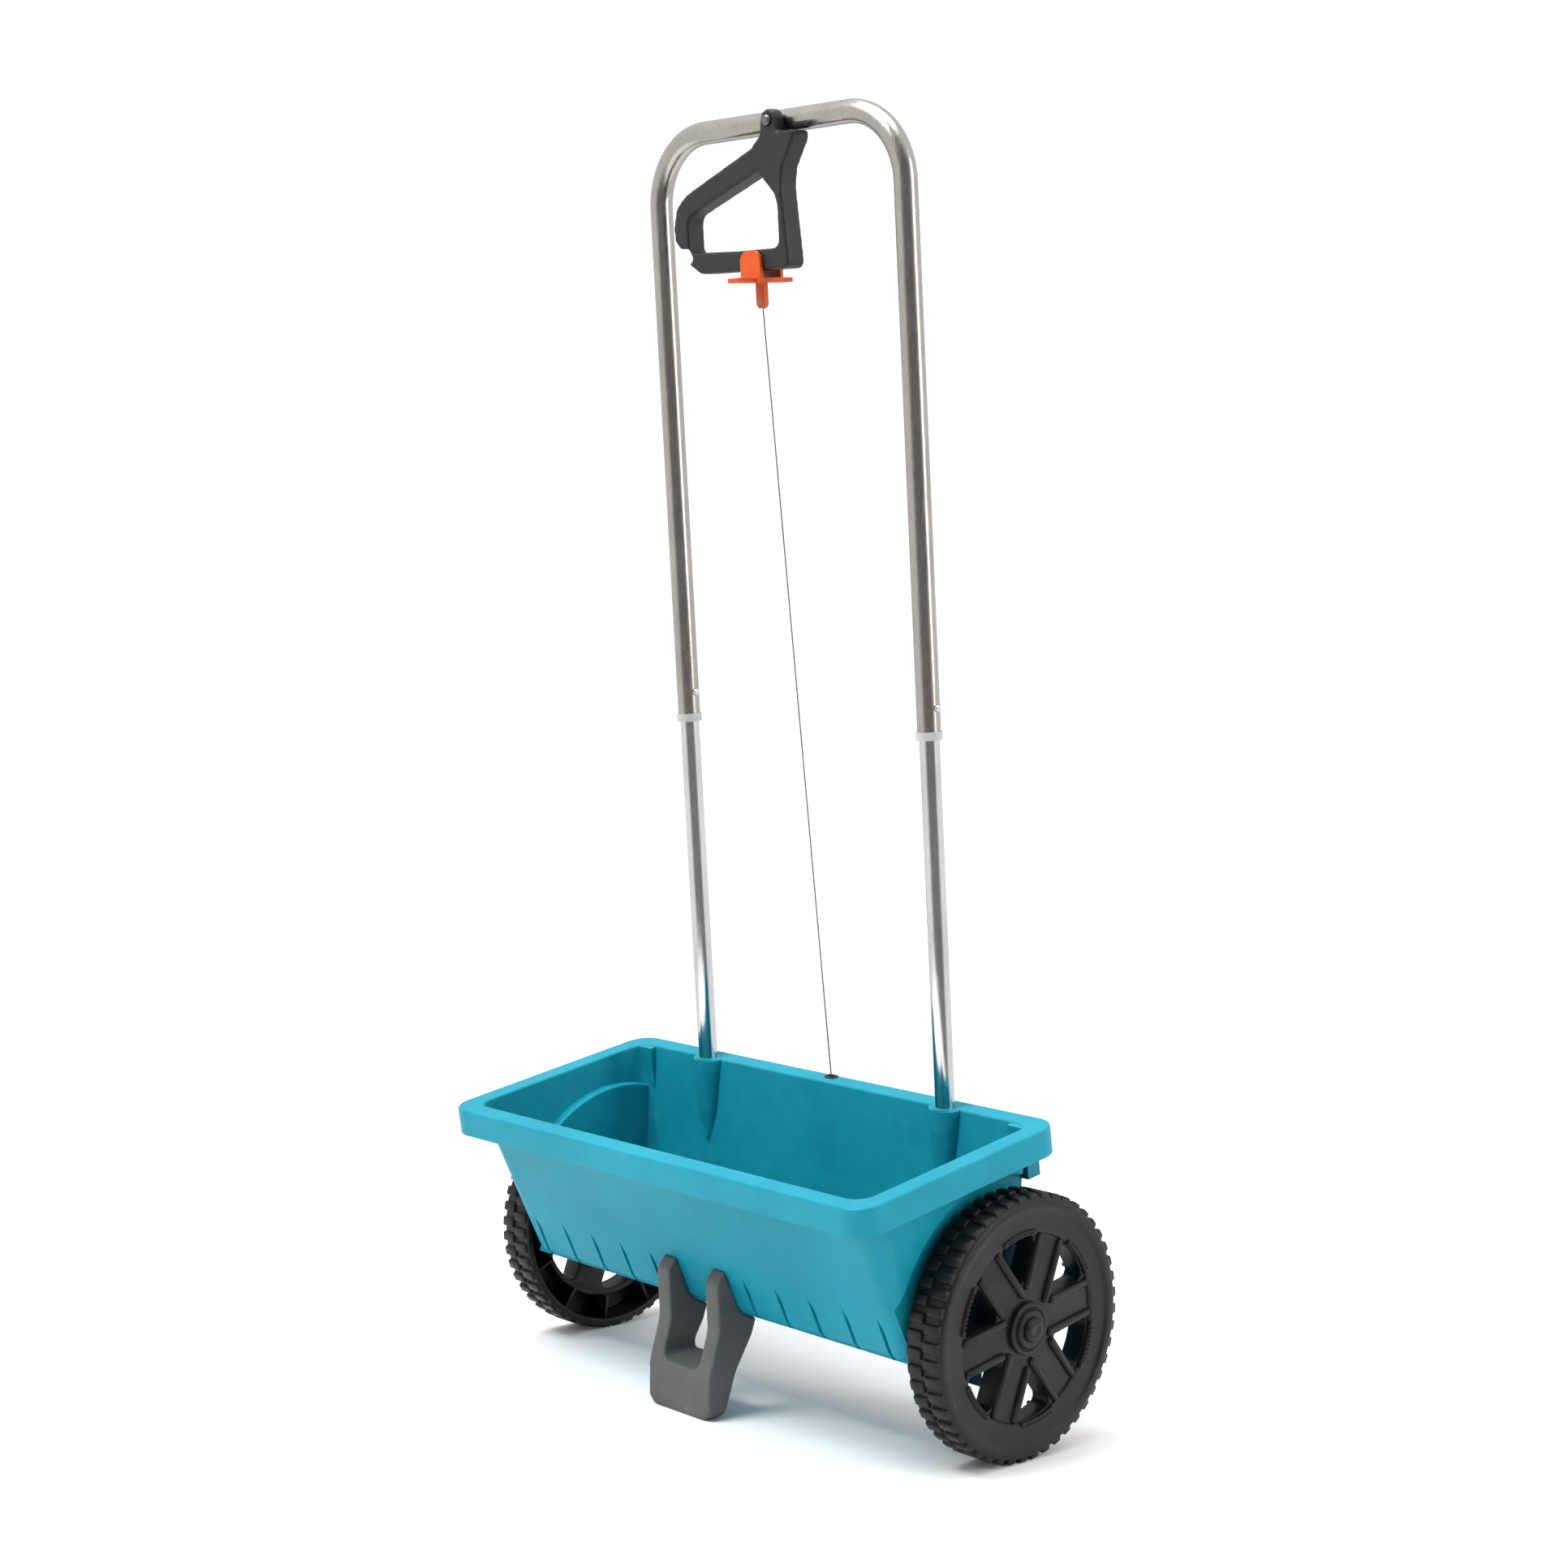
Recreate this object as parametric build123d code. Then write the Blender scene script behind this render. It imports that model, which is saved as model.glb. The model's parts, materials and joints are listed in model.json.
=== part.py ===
from build123d import *
import os
from math import acos, asin, atan, atan2, cos, degrees, hypot, radians, sin, tan

# Drop spreader for fertiliser and seed: an open hopper on two wheels and a foot, with a tall
# tube handle. A squeeze lever under the handle bar pulls a wire that opens a curved shutter.
#
# Everything is first built in the hopper's level frame, with its origin on the middle of the
# axle: +X to the right wheel, -Y to the front, +Z up and square to the rim. The whole spreader
# is then leant forward onto its foot, which is how it stands when it is parked.

# ---------------------------------------------------------------- driving sizes, millimetres
park_angle = 11.0           # how far the rim tips down at the front when parked, degrees

# hopper
rim_length = 530.0
wheel_radius = 112.0
rim_over_wheel = 40.4
rim_height = wheel_radius + rim_over_wheel     # top of the rim above the axle
rim_front = -162.0
rim_back = 76.2
rim_width = 18.5            # from the outer edge of the rim to the cavity
rim_plate = 2.6
rim_corner = 22.0
rim_round = 2.0
skirt_round = 0.8
stay_x = (227.0, 246.0)     # blocks under the back corners of the rim
stay_back = 66.0
stay_depth = 46.0
arch_round = 2.0
notch_x = (14.0, 28.0)      # notch in the lower edge of the apron
notch_depth = 4.0
skirt_depth = 24.4
wall = 3.0
bend_y = -102.4             # where the steep front wall meets the floor and the apron
bend_z = -1.9
bend_radius = 14.0
apron_y = -24.0             # lower edge of the apron below the trough
apron_z = -51.4
trough_radius = 34.0        # outside of the round trough, about the axle
crease_z = 72.0             # crease of the back wall
crease_out = 14.0
crease_y = trough_radius + crease_out
end_half_top = 249.0        # outside of the end walls, at the rim
end_half_low = 241.0        # and level with the bottom of the trough
wall_corner = 18.0
arch_gap = 10.0
arch_radius = wheel_radius + arch_gap     # wheel arch pressed into each end wall
arch_half = 238.5           # outside of the end wall inside the arch
gill_count = 12
gill_pitch = 40.0
gill_width = 4.0
gill_depth = 1.4
gill_top = 37.0
gill_end_y = -55.0

# outlets and shutter
outlet_count = 11
outlet_pitch = 40.0
outlet_length = 24.0
outlet_arc = 11.0           # degrees of the trough that each outlet takes
outlet_angle = -93.0        # middle of the outlets, degrees from +Y towards +Z
shutter_gap = 0.4
shutter_thickness = 2.0
shutter_front = -101.0
shutter_back = -50.0
shutter_travel = 15.5       # degrees, from shut to open
shutter_half = 228.0
strap_places = (-180.0, -60.0, 60.0, 180.0)
strap_width = 9.0
strap_thickness = 2.0
strap_foot = 5.0            # degrees that each foot of a strap takes
strap_front = -112.0
strap_back = -23.0
pin_y = 66.0                # cross pin of the shutter arm, where the wire hooks on
pin_z = -12.0
arm_thickness = 4.0
arm_pin_radius = 2.0
spring_places = (-110.0, 110.0)
spring_radius = 2.4

# wheels and axle
wheel_inner = 244.0         # inner face of the tyre, from the middle
wheel_outer = 280.0
lug_height = 4.5
lug_count = 48
lug_width = 8.6
rim_inside = 78.0
tyre_wall = 4.5
tyre_face = 7.0
rib_count = 12
rib_thickness = 3.0
spoke_count = 6
spoke_width = 34.0
spoke_bead = 6.0
bead_height = 3.0
hub_radius = 22.0
hub_inner = 241.6
hub_outer = 282.0
cap_radius = 10.5
cap_height = 4.5
counterbore_radius = 8.5
counterbore_depth = 13.0
shaft_radius = 5.0
shaft_half = 274.0
close_gap = 0.02            # between pieces that are fixed on the axle
ring_gap = 0.3
ring_thickness = 2.0
running_gap = 0.05
bush_radius = 8.0
bush_flange = 13.0
bush_depth = 12.0
flange_thickness = 2.0
drive_pin_radius = 2.0
drive_pin_x = 256.0
sleeve_radius = 8.0
sleeve_half = 214.0
finger_count = 10
finger_radius = 2.6
finger_reach = 27.5

# foot
foot_half = 39.5
foot_window = 23.0
foot_corner = 11.0
window_corner = 8.0
window_low = -44.0
foot_top = 40.0
foot_proud = 10.5           # how far the top of the legs stands out of the front wall
foot_toe_y = -152.0
foot_heel_y = -134.0
foot_screw_x = 31.0
foot_screw_y = -93.0
screw_radius = 2.0
screw_head = 4.6
screw_gap = 0.1

# handle
tube_half = 151.2           # half the distance between the two legs of the handle
tube_rim_y = 57.3           # where the legs pass the level of the rim
handle_lean = 0.08          # backward lean of the legs, per millimetre up
bar_height = 989.0          # middle of the top bar above the axle
upper_radius = 10.0
upper_wall = 1.2
tube_slide_gap = 0.3
lower_radius = upper_radius - upper_wall - tube_slide_gap
lower_wall = 1.2
bar_bend = 62.0
upper_end = 470.7           # lower end of the upper tube above the axle
lower_top = 560.0
socket_depth = 42.0
socket_wall = 2.6
socket_gap = 0.15
socket_flare = 17.0
socket_flare_depth = 74.0
collar_radius = 11.3
collar_length = 7.0
button_height = 496.0
button_radius = 3.0
button_proud = 2.6
button_gap = 0.08
button_travel = 3.0

# squeeze lever, in the plane of the handle, about the middle of the top bar
lever_front = 22.0          # front and back faces, forward of the plane of the handle
lever_back = 2.0
lever_gap = 0.3             # to the bar
lever_pivot_x = 14.4
lever_ear = 9.5
lever_travel = 18.0
bolt_radius = 3.0
bolt_head = 4.6
clip_x = -12.0
clip_width = 25.0
clip_wall = 3.4
clip_gap = 0.25
wing_front = 46.0
wing_back = -18.0
wing_width = 14.0
wing_thickness = 4.0
stem_radius = 5.0
eye_drop = 150.3            # eyelet of the clip below the middle of the bar
eye_x = -13.0
nipple_radius = 2.0
wire_swing = 24.0           # room for the wire to swing in the eyelet, degrees

# pull wire
wire_radius = 0.6
slot_y = 70.0               # where the wire passes the rim
slot_length = 11.0
slot_width = 5.6
grommet_wall = 0.9
wire_gap = 3.0              # between the two wires where they meet under the rim
wire_tuck = 24.0            # how far each wire reaches past the rim, inside the skirt

# ---------------------------------------------------------------- derived places
axle_side = {"right": 1, "left": -1}
front_slope = (bend_y - (rim_front + rim_width - wall)) / (rim_height - bend_z)
cavity_back = rim_back - rim_width
apron_slope = atan2(apron_z - bend_z, apron_y - bend_y)
lean_angle = degrees(atan(handle_lean))
bar_y = tube_rim_y + handle_lean * (bar_height - rim_height)
handle_scale = 1 / cos(radians(lean_angle))


def turn(y, z, angle):
    """A point of the YZ plane, turned about the axle by an angle in degrees."""
    a = radians(angle)
    return y * cos(a) - z * sin(a), y * sin(a) + z * cos(a)


def tangent(y, z, radius, side):
    """Where the line from a point touches a circle about the axle; side is 1 or -1."""
    angle = atan2(z, y) + side * acos(radius / hypot(y, z))
    return radius * cos(angle), radius * sin(angle)


def yz_prism(outline, low, high, hole=None):
    """A closed outline of (y, z) points or a face, carried along X from low to high."""
    face = make_face(Polyline(*outline, close=True)) if isinstance(outline, (list, tuple)) else outline
    if hole is not None:
        face = face - hole
    return extrude(Plane.YZ.offset(low) * face, amount=high - low)


def x_cylinder(radius, low, high, y=0.0, z=0.0):
    """A cylinder along X between two stations."""
    return Pos((low + high) / 2, y, z) * Rot(0, 90, 0) * Cylinder(radius, high - low)


def ring_sector(inner, outer, start, end):
    """A flat sector of a ring about the axle, between two angles in degrees."""
    reach = outer * 2
    steps = [start + (end - start) * k / 4 for k in range(5)]
    wedge = [(0, 0)] + [(reach * cos(radians(a)), reach * sin(radians(a))) for a in steps]
    return (Circle(outer) - Circle(inner)) & make_face(Polyline(*wedge, close=True))


def front_wall_y(z):
    """Outside of the steep front wall at a height."""
    return bend_y + front_slope * -(z - bend_z) if z > bend_z else bend_y


def apron_line(y):
    """Height of the outside of the apron at a station."""
    return bend_z + tan(apron_slope) * (y - bend_y)


def ground_z(y):
    """Height of the ground under a station while the spreader is parked."""
    p = radians(park_angle)
    return -(wheel_radius + y * sin(p)) / cos(p)


# ---------------------------------------------------------------- hopper
def trough_face(inset):
    """Section of the tray: steep front, sloping floor, round trough and creased back."""
    radius = trough_radius - inset
    front_top = (rim_front + rim_width - wall + inset, rim_height)
    bend = (bend_y + inset, bend_z + inset)
    floor_end = tangent(*bend, radius, 1)
    crease = (crease_y - inset, crease_z)
    back_start = tangent(*crease, radius, -1)
    back_top = (cavity_back + wall - inset, rim_height)
    outline = [front_top, bend, floor_end, (0, 0), back_start, crease, back_top]
    face = make_face(Polyline(*outline, close=True))
    return fillet(nearest_vertex(face, bend), bend_radius - inset) + Circle(radius)


def nearest_vertex(face, point):
    """The corner of a flat face that is closest to a point."""
    return min(face.vertices(), key=lambda v: hypot(v.X - point[0], v.Y - point[1]))


def end_trim(inset):
    """A tapered block, narrower at the bottom, that gives the end walls their draft."""
    top = end_half_top - inset
    low = end_half_low - inset
    depth = rim_height - apron_z
    outline = [(-top, rim_height), (top, rim_height), (low, rim_height - depth), (-low, rim_height - depth)]
    reach = rim_back - rim_front
    return extrude(Plane.XZ.offset(-reach) * make_face(Polyline(*outline, close=True)), amount=2 * reach)


def arch_blocks(inset):
    """What the two wheel arches take out of the ends of the tray."""
    block = x_cylinder(arch_radius + inset, arch_half - inset, rim_length / 2)
    return block + mirror(block, about=Plane.YZ)


def round_uprights(body, radius):
    """Rounds the four upright corners between the end walls and the front and back."""
    tall = [e for e in body.edges() if abs(e.tangent_at(0.5).Z) > 0.9 and e.length > trough_radius
            and abs(e.center().X) > end_half_low - 2 * wall]
    return fillet(tall, radius)


def tray(inset):
    """The solid outline of the tray, or of its cavity, before the arches."""
    body = yz_prism(trough_face(inset), -rim_length / 2, rim_length / 2) & end_trim(inset)
    return round_uprights(body, wall_corner - inset)


def rim_and_skirt():
    """The flat rim round the cavity and the skirt hanging from its edge."""
    depth = rim_back - rim_front
    middle = (rim_back + rim_front) / 2
    outer = RectangleRounded(rim_length, depth, rim_corner)
    inner = RectangleRounded(rim_length - 2 * rim_plate, depth - 2 * rim_plate, rim_corner - rim_plate)
    block = extrude(outer, amount=-skirt_depth)
    block = fillet(block.edges().group_by(Axis.Z)[-1], rim_round)
    pocket = Pos(0, 0, -rim_plate) * extrude(inner, amount=-skirt_depth)
    return Pos(0, middle, rim_height) * (block - pocket)


def apron_end_face():
    """Outline of the end plates that close the apron to the trough."""
    drop = apron_z + 2.4
    back_y = apron_y + 3.5
    return make_face(Polyline((bend_y + 4, bend_z + 4), (bend_y + 1.5, apron_line(bend_y + 1.5)), (apron_y, apron_z),
                              (back_y, drop), (back_y + 1.5, -trough_radius * 0.8), (0, 0), close=True))


def apron_pocket_face():
    """The open space between the apron and the trough, seen from the end."""
    start = bend_y + 14
    normal = wall / cos(apron_slope)
    floor_end = tangent(bend_y, bend_z, trough_radius, 1)
    outline = [(start, apron_line(start) + normal), (apron_y + 1, apron_line(apron_y + 1) + normal),
               (apron_y + 6, apron_z - 4), (0, apron_z - 4), (0, -trough_radius), floor_end]
    return make_face(Polyline(*outline, close=True)) - Circle(trough_radius)


def socket_axis(x, height):
    """Middle of a handle leg at a height above the axle."""
    return (x, tube_rim_y + handle_lean * (height - rim_height), height)


def leg_cylinder(x, radius, low, high):
    """A cylinder on the line of one handle leg, between two heights."""
    start = Vector(*socket_axis(x, low))
    end = Vector(*socket_axis(x, high))
    plane = Plane(origin=start, x_dir=(1, 0, 0), z_dir=end - start)
    return extrude(plane * Circle(radius), amount=(end - start).length)


def socket_boss(x):
    """A socket for one leg, with a flare inside the hopper that runs out to a point."""
    radius = lower_radius + socket_gap + socket_wall
    barrel = leg_cylinder(x, radius, rim_height - socket_depth - socket_wall, rim_height)
    back = cavity_back + wall / 2
    top = Plane.XY.offset(rim_height) * make_face(Polyline(
        (x - socket_flare, back), (x - radius * 0.7, back - radius), (x + radius * 0.7, back - radius),
        (x + socket_flare, back), close=True))
    low_back = crease_y - wall / 2
    low = Plane.XY.offset(rim_height - socket_flare_depth) * make_face(Polyline(
        (x - 3, low_back), (x - 2, low_back - 3), (x + 2, low_back - 3), (x + 3, low_back), close=True))
    return barrel + loft([top, low])


def gill_cutter():
    """One shallow gill that wraps round the bend of the front wall."""
    top_y = front_wall_y(gill_top)
    outline = [(top_y - 1, gill_top + 4), (top_y, gill_top), (bend_y + gill_depth, bend_z + 12),
               (bend_y + 5 + gill_depth, bend_z + gill_depth * 0.4), (gill_end_y, apron_line(gill_end_y)),
               (gill_end_y, apron_line(gill_end_y) - 12), (bend_y - 14, bend_z - 12)]
    return yz_prism(outline, -gill_width / 2, gill_width / 2)


def outlet_cutter():
    """One outlet through the trough."""
    sector = ring_sector(trough_radius - 2 * wall, trough_radius + wall,
                         outlet_angle - outlet_arc / 2, outlet_angle + outlet_arc / 2)
    return yz_prism(sector, -outlet_length / 2, outlet_length / 2)


def gill_stations():
    """Where the gills sit along the hopper; those behind the foot are left out."""
    places = [(k - (gill_count - 1) / 2) * gill_pitch for k in range(gill_count)]
    return [x for x in places if abs(x) > foot_half + gill_width]


def screw_y(height):
    """Outside of the socket flat where the socket screw sits."""
    return socket_axis(0, height)[1] + lower_radius + socket_gap + socket_wall


def at_height(edge, height):
    return abs(edge.center().Z - height) < 0.01


def mouth_edges(body):
    """The edge of the cavity, level with the rim."""
    depth = rim_back - rim_front - rim_width
    return [e for e in body.edges() if at_height(e, rim_height) and abs(e.center().X) < rim_length / 2 - rim_width / 2
            and abs(e.center().Y - (rim_front + rim_back) / 2) < depth / 2]


def cavity():
    """The load space, with the wheel arches standing into it as rounded mouldings."""
    space = tray(wall) - arch_blocks(wall)
    face_x = arch_half - wall
    arcs = [e for e in space.edges() if e.geom_type == GeomType.CIRCLE
            and abs(e.radius - arch_radius - wall) < 0.01 and abs(abs(e.center().X) - face_x) < 0.01]
    return fillet(arcs, arch_round)


def corner_stay(side):
    """A block under the rim at each back corner, behind the wheel."""
    low_x, high_x = stay_x
    low_z, high_z = rim_height - stay_depth, rim_height - rim_plate / 2
    low_y = crease_y + wall
    return Pos(side * (low_x + high_x) / 2, (low_y + stay_back) / 2, (low_z + high_z) / 2) * Box(
        high_x - low_x, stay_back - low_y, high_z - low_z)


def hopper():
    body = tray(0) - arch_blocks(0) + rim_and_skirt()
    body += yz_prism(apron_end_face(), -arch_half, arch_half)
    body -= yz_prism(apron_pocket_face(), -(arch_half - wall), arch_half - wall)
    body -= cavity()
    body = fillet(mouth_edges(body), rim_round)
    body = fillet([e for e in body.edges() if at_height(e, rim_height - skirt_depth)], skirt_round)
    for side in (1, -1):
        x = side * tube_half
        body += socket_boss(x)
        body += corner_stay(side)
    for side in (1, -1):
        x = side * tube_half
        body -= leg_cylinder(x, lower_radius + socket_gap, rim_height - socket_depth, rim_height + wall)
        inner = arch_half - bush_depth
        low, high = sorted((side * inner, side * (arch_half - wall / 2)))
        body += x_cylinder(bush_radius + wall, low, high)
        low, high = sorted((side * (inner - 1), side * (arch_half + wall)))
        body -= x_cylinder(bush_radius + screw_gap, low, high)
        height = rim_height - socket_depth / 2 - rim_plate
        y = screw_y(height) - 1
        body -= Pos(x, y + 5, height) * Box(20, 10, 12)
        body -= Pos(x, y, height) * Rot(90, 0, 0) * Cylinder(screw_radius + screw_gap, 2 * socket_wall + 4)
        body += foot_boss(side) & yz_prism(trough_face(wall / 2), -foot_half, foot_half)
        body -= Pos(side * foot_screw_x, foot_screw_y, 0) * Cylinder(screw_radius + screw_gap, 40)
    for x in gill_stations():
        body -= Pos(x, 0, 0) * gill_cutter()
    body -= Pos(sum(notch_x) / 2, apron_y, apron_z) * Box(notch_x[1] - notch_x[0], 2 * notch_depth, 2 * notch_depth)
    for k in range(outlet_count):
        body -= Pos((k - (outlet_count - 1) / 2) * outlet_pitch, 0, 0) * outlet_cutter()
    for x in spring_places:
        body += spring_peg(x)
    body -= Pos(0, slot_y, rim_height) * extrude(SlotOverall(slot_length, slot_width), amount=rim_plate * 2, both=True)
    return body


def foot_boss(side):
    """A flat-topped pad on the floor, under the head of one foot screw."""
    low = apron_line(foot_screw_y) + 1
    return Pos(side * foot_screw_x, foot_screw_y, (low + foot_pad_top()) / 2) * Cylinder(
        screw_head + 1.5, foot_pad_top() - low)


def foot_pad_top():
    return bend_z + 6.0


def spring_line():
    """Two ends of a return spring, in the YZ plane: on the hopper's peg and on the shutter."""
    return (-62.0, -19.5), (-9.0, -38.9)


def spring_peg(x):
    """A moulded post between floor and apron that holds the front end of a return spring."""
    (y, z), _ = spring_line()
    return Pos(x, y - 3.2, z + 1) * Cylinder(1.6, 9)


# ---------------------------------------------------------------- shutter
shutter_inner = trough_radius + shutter_gap
shutter_outer = shutter_inner + shutter_thickness


def shutter_plate():
    body = yz_prism(ring_sector(shutter_inner, shutter_outer, shutter_front, shutter_back),
                    -shutter_half, shutter_half)
    ear = yz_prism(ring_sector(shutter_outer - 0.5, shutter_outer + 4, shutter_front, shutter_front + 5), -3, 3)
    for x in spring_places:
        body += Pos(x, 0, 0) * ear
    return body


def shutter_arm():
    """The upright arm on the back of the shutter, with the cross pin for the wire."""
    toe = [(r * cos(radians(a)), r * sin(radians(a)))
           for r, a in ((shutter_outer, -84), (shutter_outer + 5, -84))]
    outline = [toe[0], toe[1], (36, -34), (pin_y + 4, pin_z - 5), (pin_y + 4, pin_z + 4), (pin_y - 4, pin_z + 4),
               (34, -24)]
    plate = make_face(Polyline(*outline, close=True)) - Circle(shutter_outer)
    arm = yz_prism(plate, 1.2, 1.2 + arm_thickness)
    arm += x_cylinder(arm_pin_radius, -3.2, 1.4, pin_y, pin_z)
    return arm + x_cylinder(arm_pin_radius + 1.4, -4.4, -3.2, pin_y, pin_z)


def guide_straps():
    """Straps that hold the shutter against the trough, with a foot at each end."""
    inner = shutter_outer + shutter_gap
    outer = inner + strap_thickness
    bow = ring_sector(inner, outer, strap_front, strap_back)
    front = ring_sector(trough_radius, outer, strap_front, strap_front + strap_foot)
    back = ring_sector(trough_radius, outer, strap_back - strap_foot, strap_back)
    strap = yz_prism(bow + front + back, -strap_width / 2, strap_width / 2)
    keep = yz_prism(trough_face(0), -strap_width, strap_width)
    return [Pos(x, 0, 0) * (strap - keep) for x in strap_places]


def return_springs():
    """Closed-wound springs between the hopper and the shutter."""
    (y0, z0), (y1, z1) = spring_line()
    length = hypot(y1 - y0, z1 - z0)
    angle = degrees(atan2(z1 - z0, y1 - y0))
    tube = Cylinder(spring_radius, length) - Cylinder(spring_radius - 0.7, length)
    middle = ((y0 + y1) / 2, (z0 + z1) / 2)
    return [Pos(x, *middle) * Rot(angle - 90, 0, 0) * tube for x in spring_places]


# ---------------------------------------------------------------- wheels and axle
def tread(low, high, twist):
    """One row of lugs with the band of tyre under it."""
    band = Circle(wheel_radius) - Circle(rim_inside)
    slot = Rectangle(lug_height * 2, 2 * 3.1416 * wheel_radius / lug_count - lug_width)
    cuts = Sketch() + [Rot(0, 0, (k + twist) * 360 / lug_count) * Pos(wheel_radius, 0) * slot
                       for k in range(lug_count)]
    return extrude(Plane.YZ.offset(low) * (band - cuts), amount=high - low)


def wheel(side):
    middle = (wheel_inner + wheel_outer) / 2
    body = tread(wheel_inner + 1.5, middle, 0) + tread(middle, wheel_outer - 1.5, 0.5)
    shoulder = wheel_radius - lug_height + 1
    body += x_cylinder(shoulder, wheel_inner, wheel_outer) - x_cylinder(rim_inside, wheel_inner, wheel_outer)
    face_step = x_cylinder(shoulder - 6, wheel_outer - 2.5, wheel_outer) - x_cylinder(
        rim_inside, wheel_outer - 2.5, wheel_outer)
    body -= face_step
    spoke_low, spoke_high = wheel_inner + 6, wheel_outer - bead_height - 2
    for k in range(spoke_count):
        turned = Rot(k * 360 / spoke_count, 0, 0)
        spoke = Pos((spoke_low + spoke_high) / 2, (rim_inside + 2) / 2, 0) * Box(
            spoke_high - spoke_low, rim_inside + 2, spoke_width)
        body += turned * spoke
        for s in (1, -1):
            bead = Pos(spoke_high + bead_height / 2 - 0.5, (rim_inside + hub_radius) / 2 + 2,
                       s * (spoke_width - spoke_bead) / 2)
            body += turned * bead * Box(bead_height + 1, rim_inside - hub_radius - 8, spoke_bead)
    body += x_cylinder(hub_radius, hub_inner, hub_outer)
    body -= tyre_pocket()
    body -= x_cylinder(shaft_radius + running_gap, hub_inner - 1, hub_outer)
    body -= x_cylinder(counterbore_radius, hub_outer - counterbore_depth, hub_outer + 1)
    if side > 0:
        body -= Pos(drive_pin_x, 0, 0) * Cylinder(drive_pin_radius + close_gap, 3 * hub_radius)
    return body if side > 0 else mirror(body, about=Plane.YZ)


def tyre_pocket():
    """What is cored out of the back of the tyre between its ribs."""
    inside = rim_inside + tyre_wall
    outside = wheel_radius - lug_height - tyre_wall
    floor = wheel_outer - tyre_face
    ring = x_cylinder(outside, wheel_inner - 1, floor) - x_cylinder(inside, wheel_inner - 1, floor)
    rib = Pos((wheel_inner + floor) / 2, (inside + outside) / 2, 0) * Box(
        floor - wheel_inner + 4, outside - inside + 4, rib_thickness)
    for k in range(rib_count):
        ring -= Rot((k + 0.5) * 360 / rib_count, 0, 0) * rib
    return ring


def axle_shaft():
    shaft = x_cylinder(shaft_radius, -shaft_half, shaft_half)
    return shaft - Pos(drive_pin_x, 0, 0) * Cylinder(drive_pin_radius + close_gap, 4 * shaft_radius)


def drive_pin():
    return Pos(drive_pin_x, 0, 0) * Cylinder(drive_pin_radius, 2 * hub_radius - 1)


def hub_cap(side):
    plug_end = hub_outer - 5
    cap = x_cylinder(cap_radius, hub_outer, hub_outer + cap_height)
    cap = fillet(cap.edges().sort_by(Axis.X)[-1], cap_height * 0.6)
    cap += x_cylinder(counterbore_radius - running_gap, plug_end, hub_outer)
    return cap if side > 0 else mirror(cap, about=Plane.YZ)


def retaining_ring():
    """Holds the free wheel on the left end of the axle."""
    seat = -(hub_outer - counterbore_depth) - ring_gap
    outer = x_cylinder(counterbore_radius - 1, seat - ring_thickness, seat)
    return outer - x_cylinder(shaft_radius + close_gap, -shaft_half, seat + 1)


def axle_bush(side):
    body = x_cylinder(bush_radius, arch_half - bush_depth, arch_half)
    body += x_cylinder(bush_flange, arch_half, arch_half + flange_thickness)
    body -= x_cylinder(shaft_radius + running_gap, arch_half - bush_depth - 1, arch_half + 3 * flange_thickness)
    return body if side > 0 else mirror(body, about=Plane.YZ)


def agitator_sleeve():
    body = x_cylinder(sleeve_radius, -sleeve_half, sleeve_half)
    return body - x_cylinder(shaft_radius + close_gap, -sleeve_half - 1, sleeve_half + 1)


def agitator_fingers():
    """Round fingers on the sleeve that break up the load between the outlets."""
    stub = Cylinder(finger_radius, finger_reach, align=(Align.CENTER, Align.CENTER, Align.MIN))
    parts = []
    for k in range(finger_count):
        x = (k - (finger_count - 1) / 2) * outlet_pitch
        for half_turn in (0, 180):
            finger = Pos(x, 0, 0) * Rot(90 * (k % 2) + half_turn, 0, 0) * stub
            parts.append(finger - x_cylinder(sleeve_radius, x - sleeve_radius, x + sleeve_radius))
    return parts


# ---------------------------------------------------------------- foot
# A plane square to the ground, across the spreader, with its own +Y up and its origin on the ground.
ground_front = Plane(origin=(0, foot_toe_y, ground_z(foot_toe_y)), x_dir=(1, 0, 0),
                     z_dir=(0, -cos(radians(park_angle)), sin(radians(park_angle))))


def foot_face():
    top_y = front_wall_y(foot_top)
    toe = (foot_toe_y, ground_z(foot_toe_y))
    heel = (foot_heel_y, ground_z(foot_heel_y))
    outline = [(top_y + 4, foot_top), (top_y, foot_top), (top_y - foot_proud, foot_top - 9), (-129, -12),
               (-146, -47), toe, heel, (-115, -52), (-92, -26), (-85, apron_line(-85)), (-85, bend_z + 8)]
    face = make_face(Polyline(*outline, close=True))
    for point, radius in (((-129, -12), 30), ((-146, -47), 26), ((-115, -52), 40), ((-92, -26), 8),
                          ((top_y - foot_proud, foot_top - 9), 7)):
        face = fillet(nearest_vertex(face, point), radius)
    return face


def foot():
    body = yz_prism(foot_face(), -foot_half, foot_half)
    shape = Pos(0, (window_low + foot_top) / 2 + 10) * RectangleRounded(
        2 * foot_window, foot_top - window_low + 20, window_corner)
    slot = extrude(Plane.XZ.offset(-rim_back) * shape, amount=2 * rim_length)
    outer = Pos(0, wheel_radius) * RectangleRounded(2 * foot_half, 2 * wheel_radius, foot_corner)
    trim = extrude(ground_front * outer, amount=rim_length, both=True)
    body = (body & trim) - slot
    body -= yz_prism(trough_face(0), -rim_length / 2, rim_length / 2)
    body -= yz_prism(apron_end_face(), -rim_length / 2, rim_length / 2)
    for side in (1, -1):
        body -= Pos(side * foot_screw_x, foot_screw_y, 0) * Cylinder(screw_radius + running_gap, 60)
    return body


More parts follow.
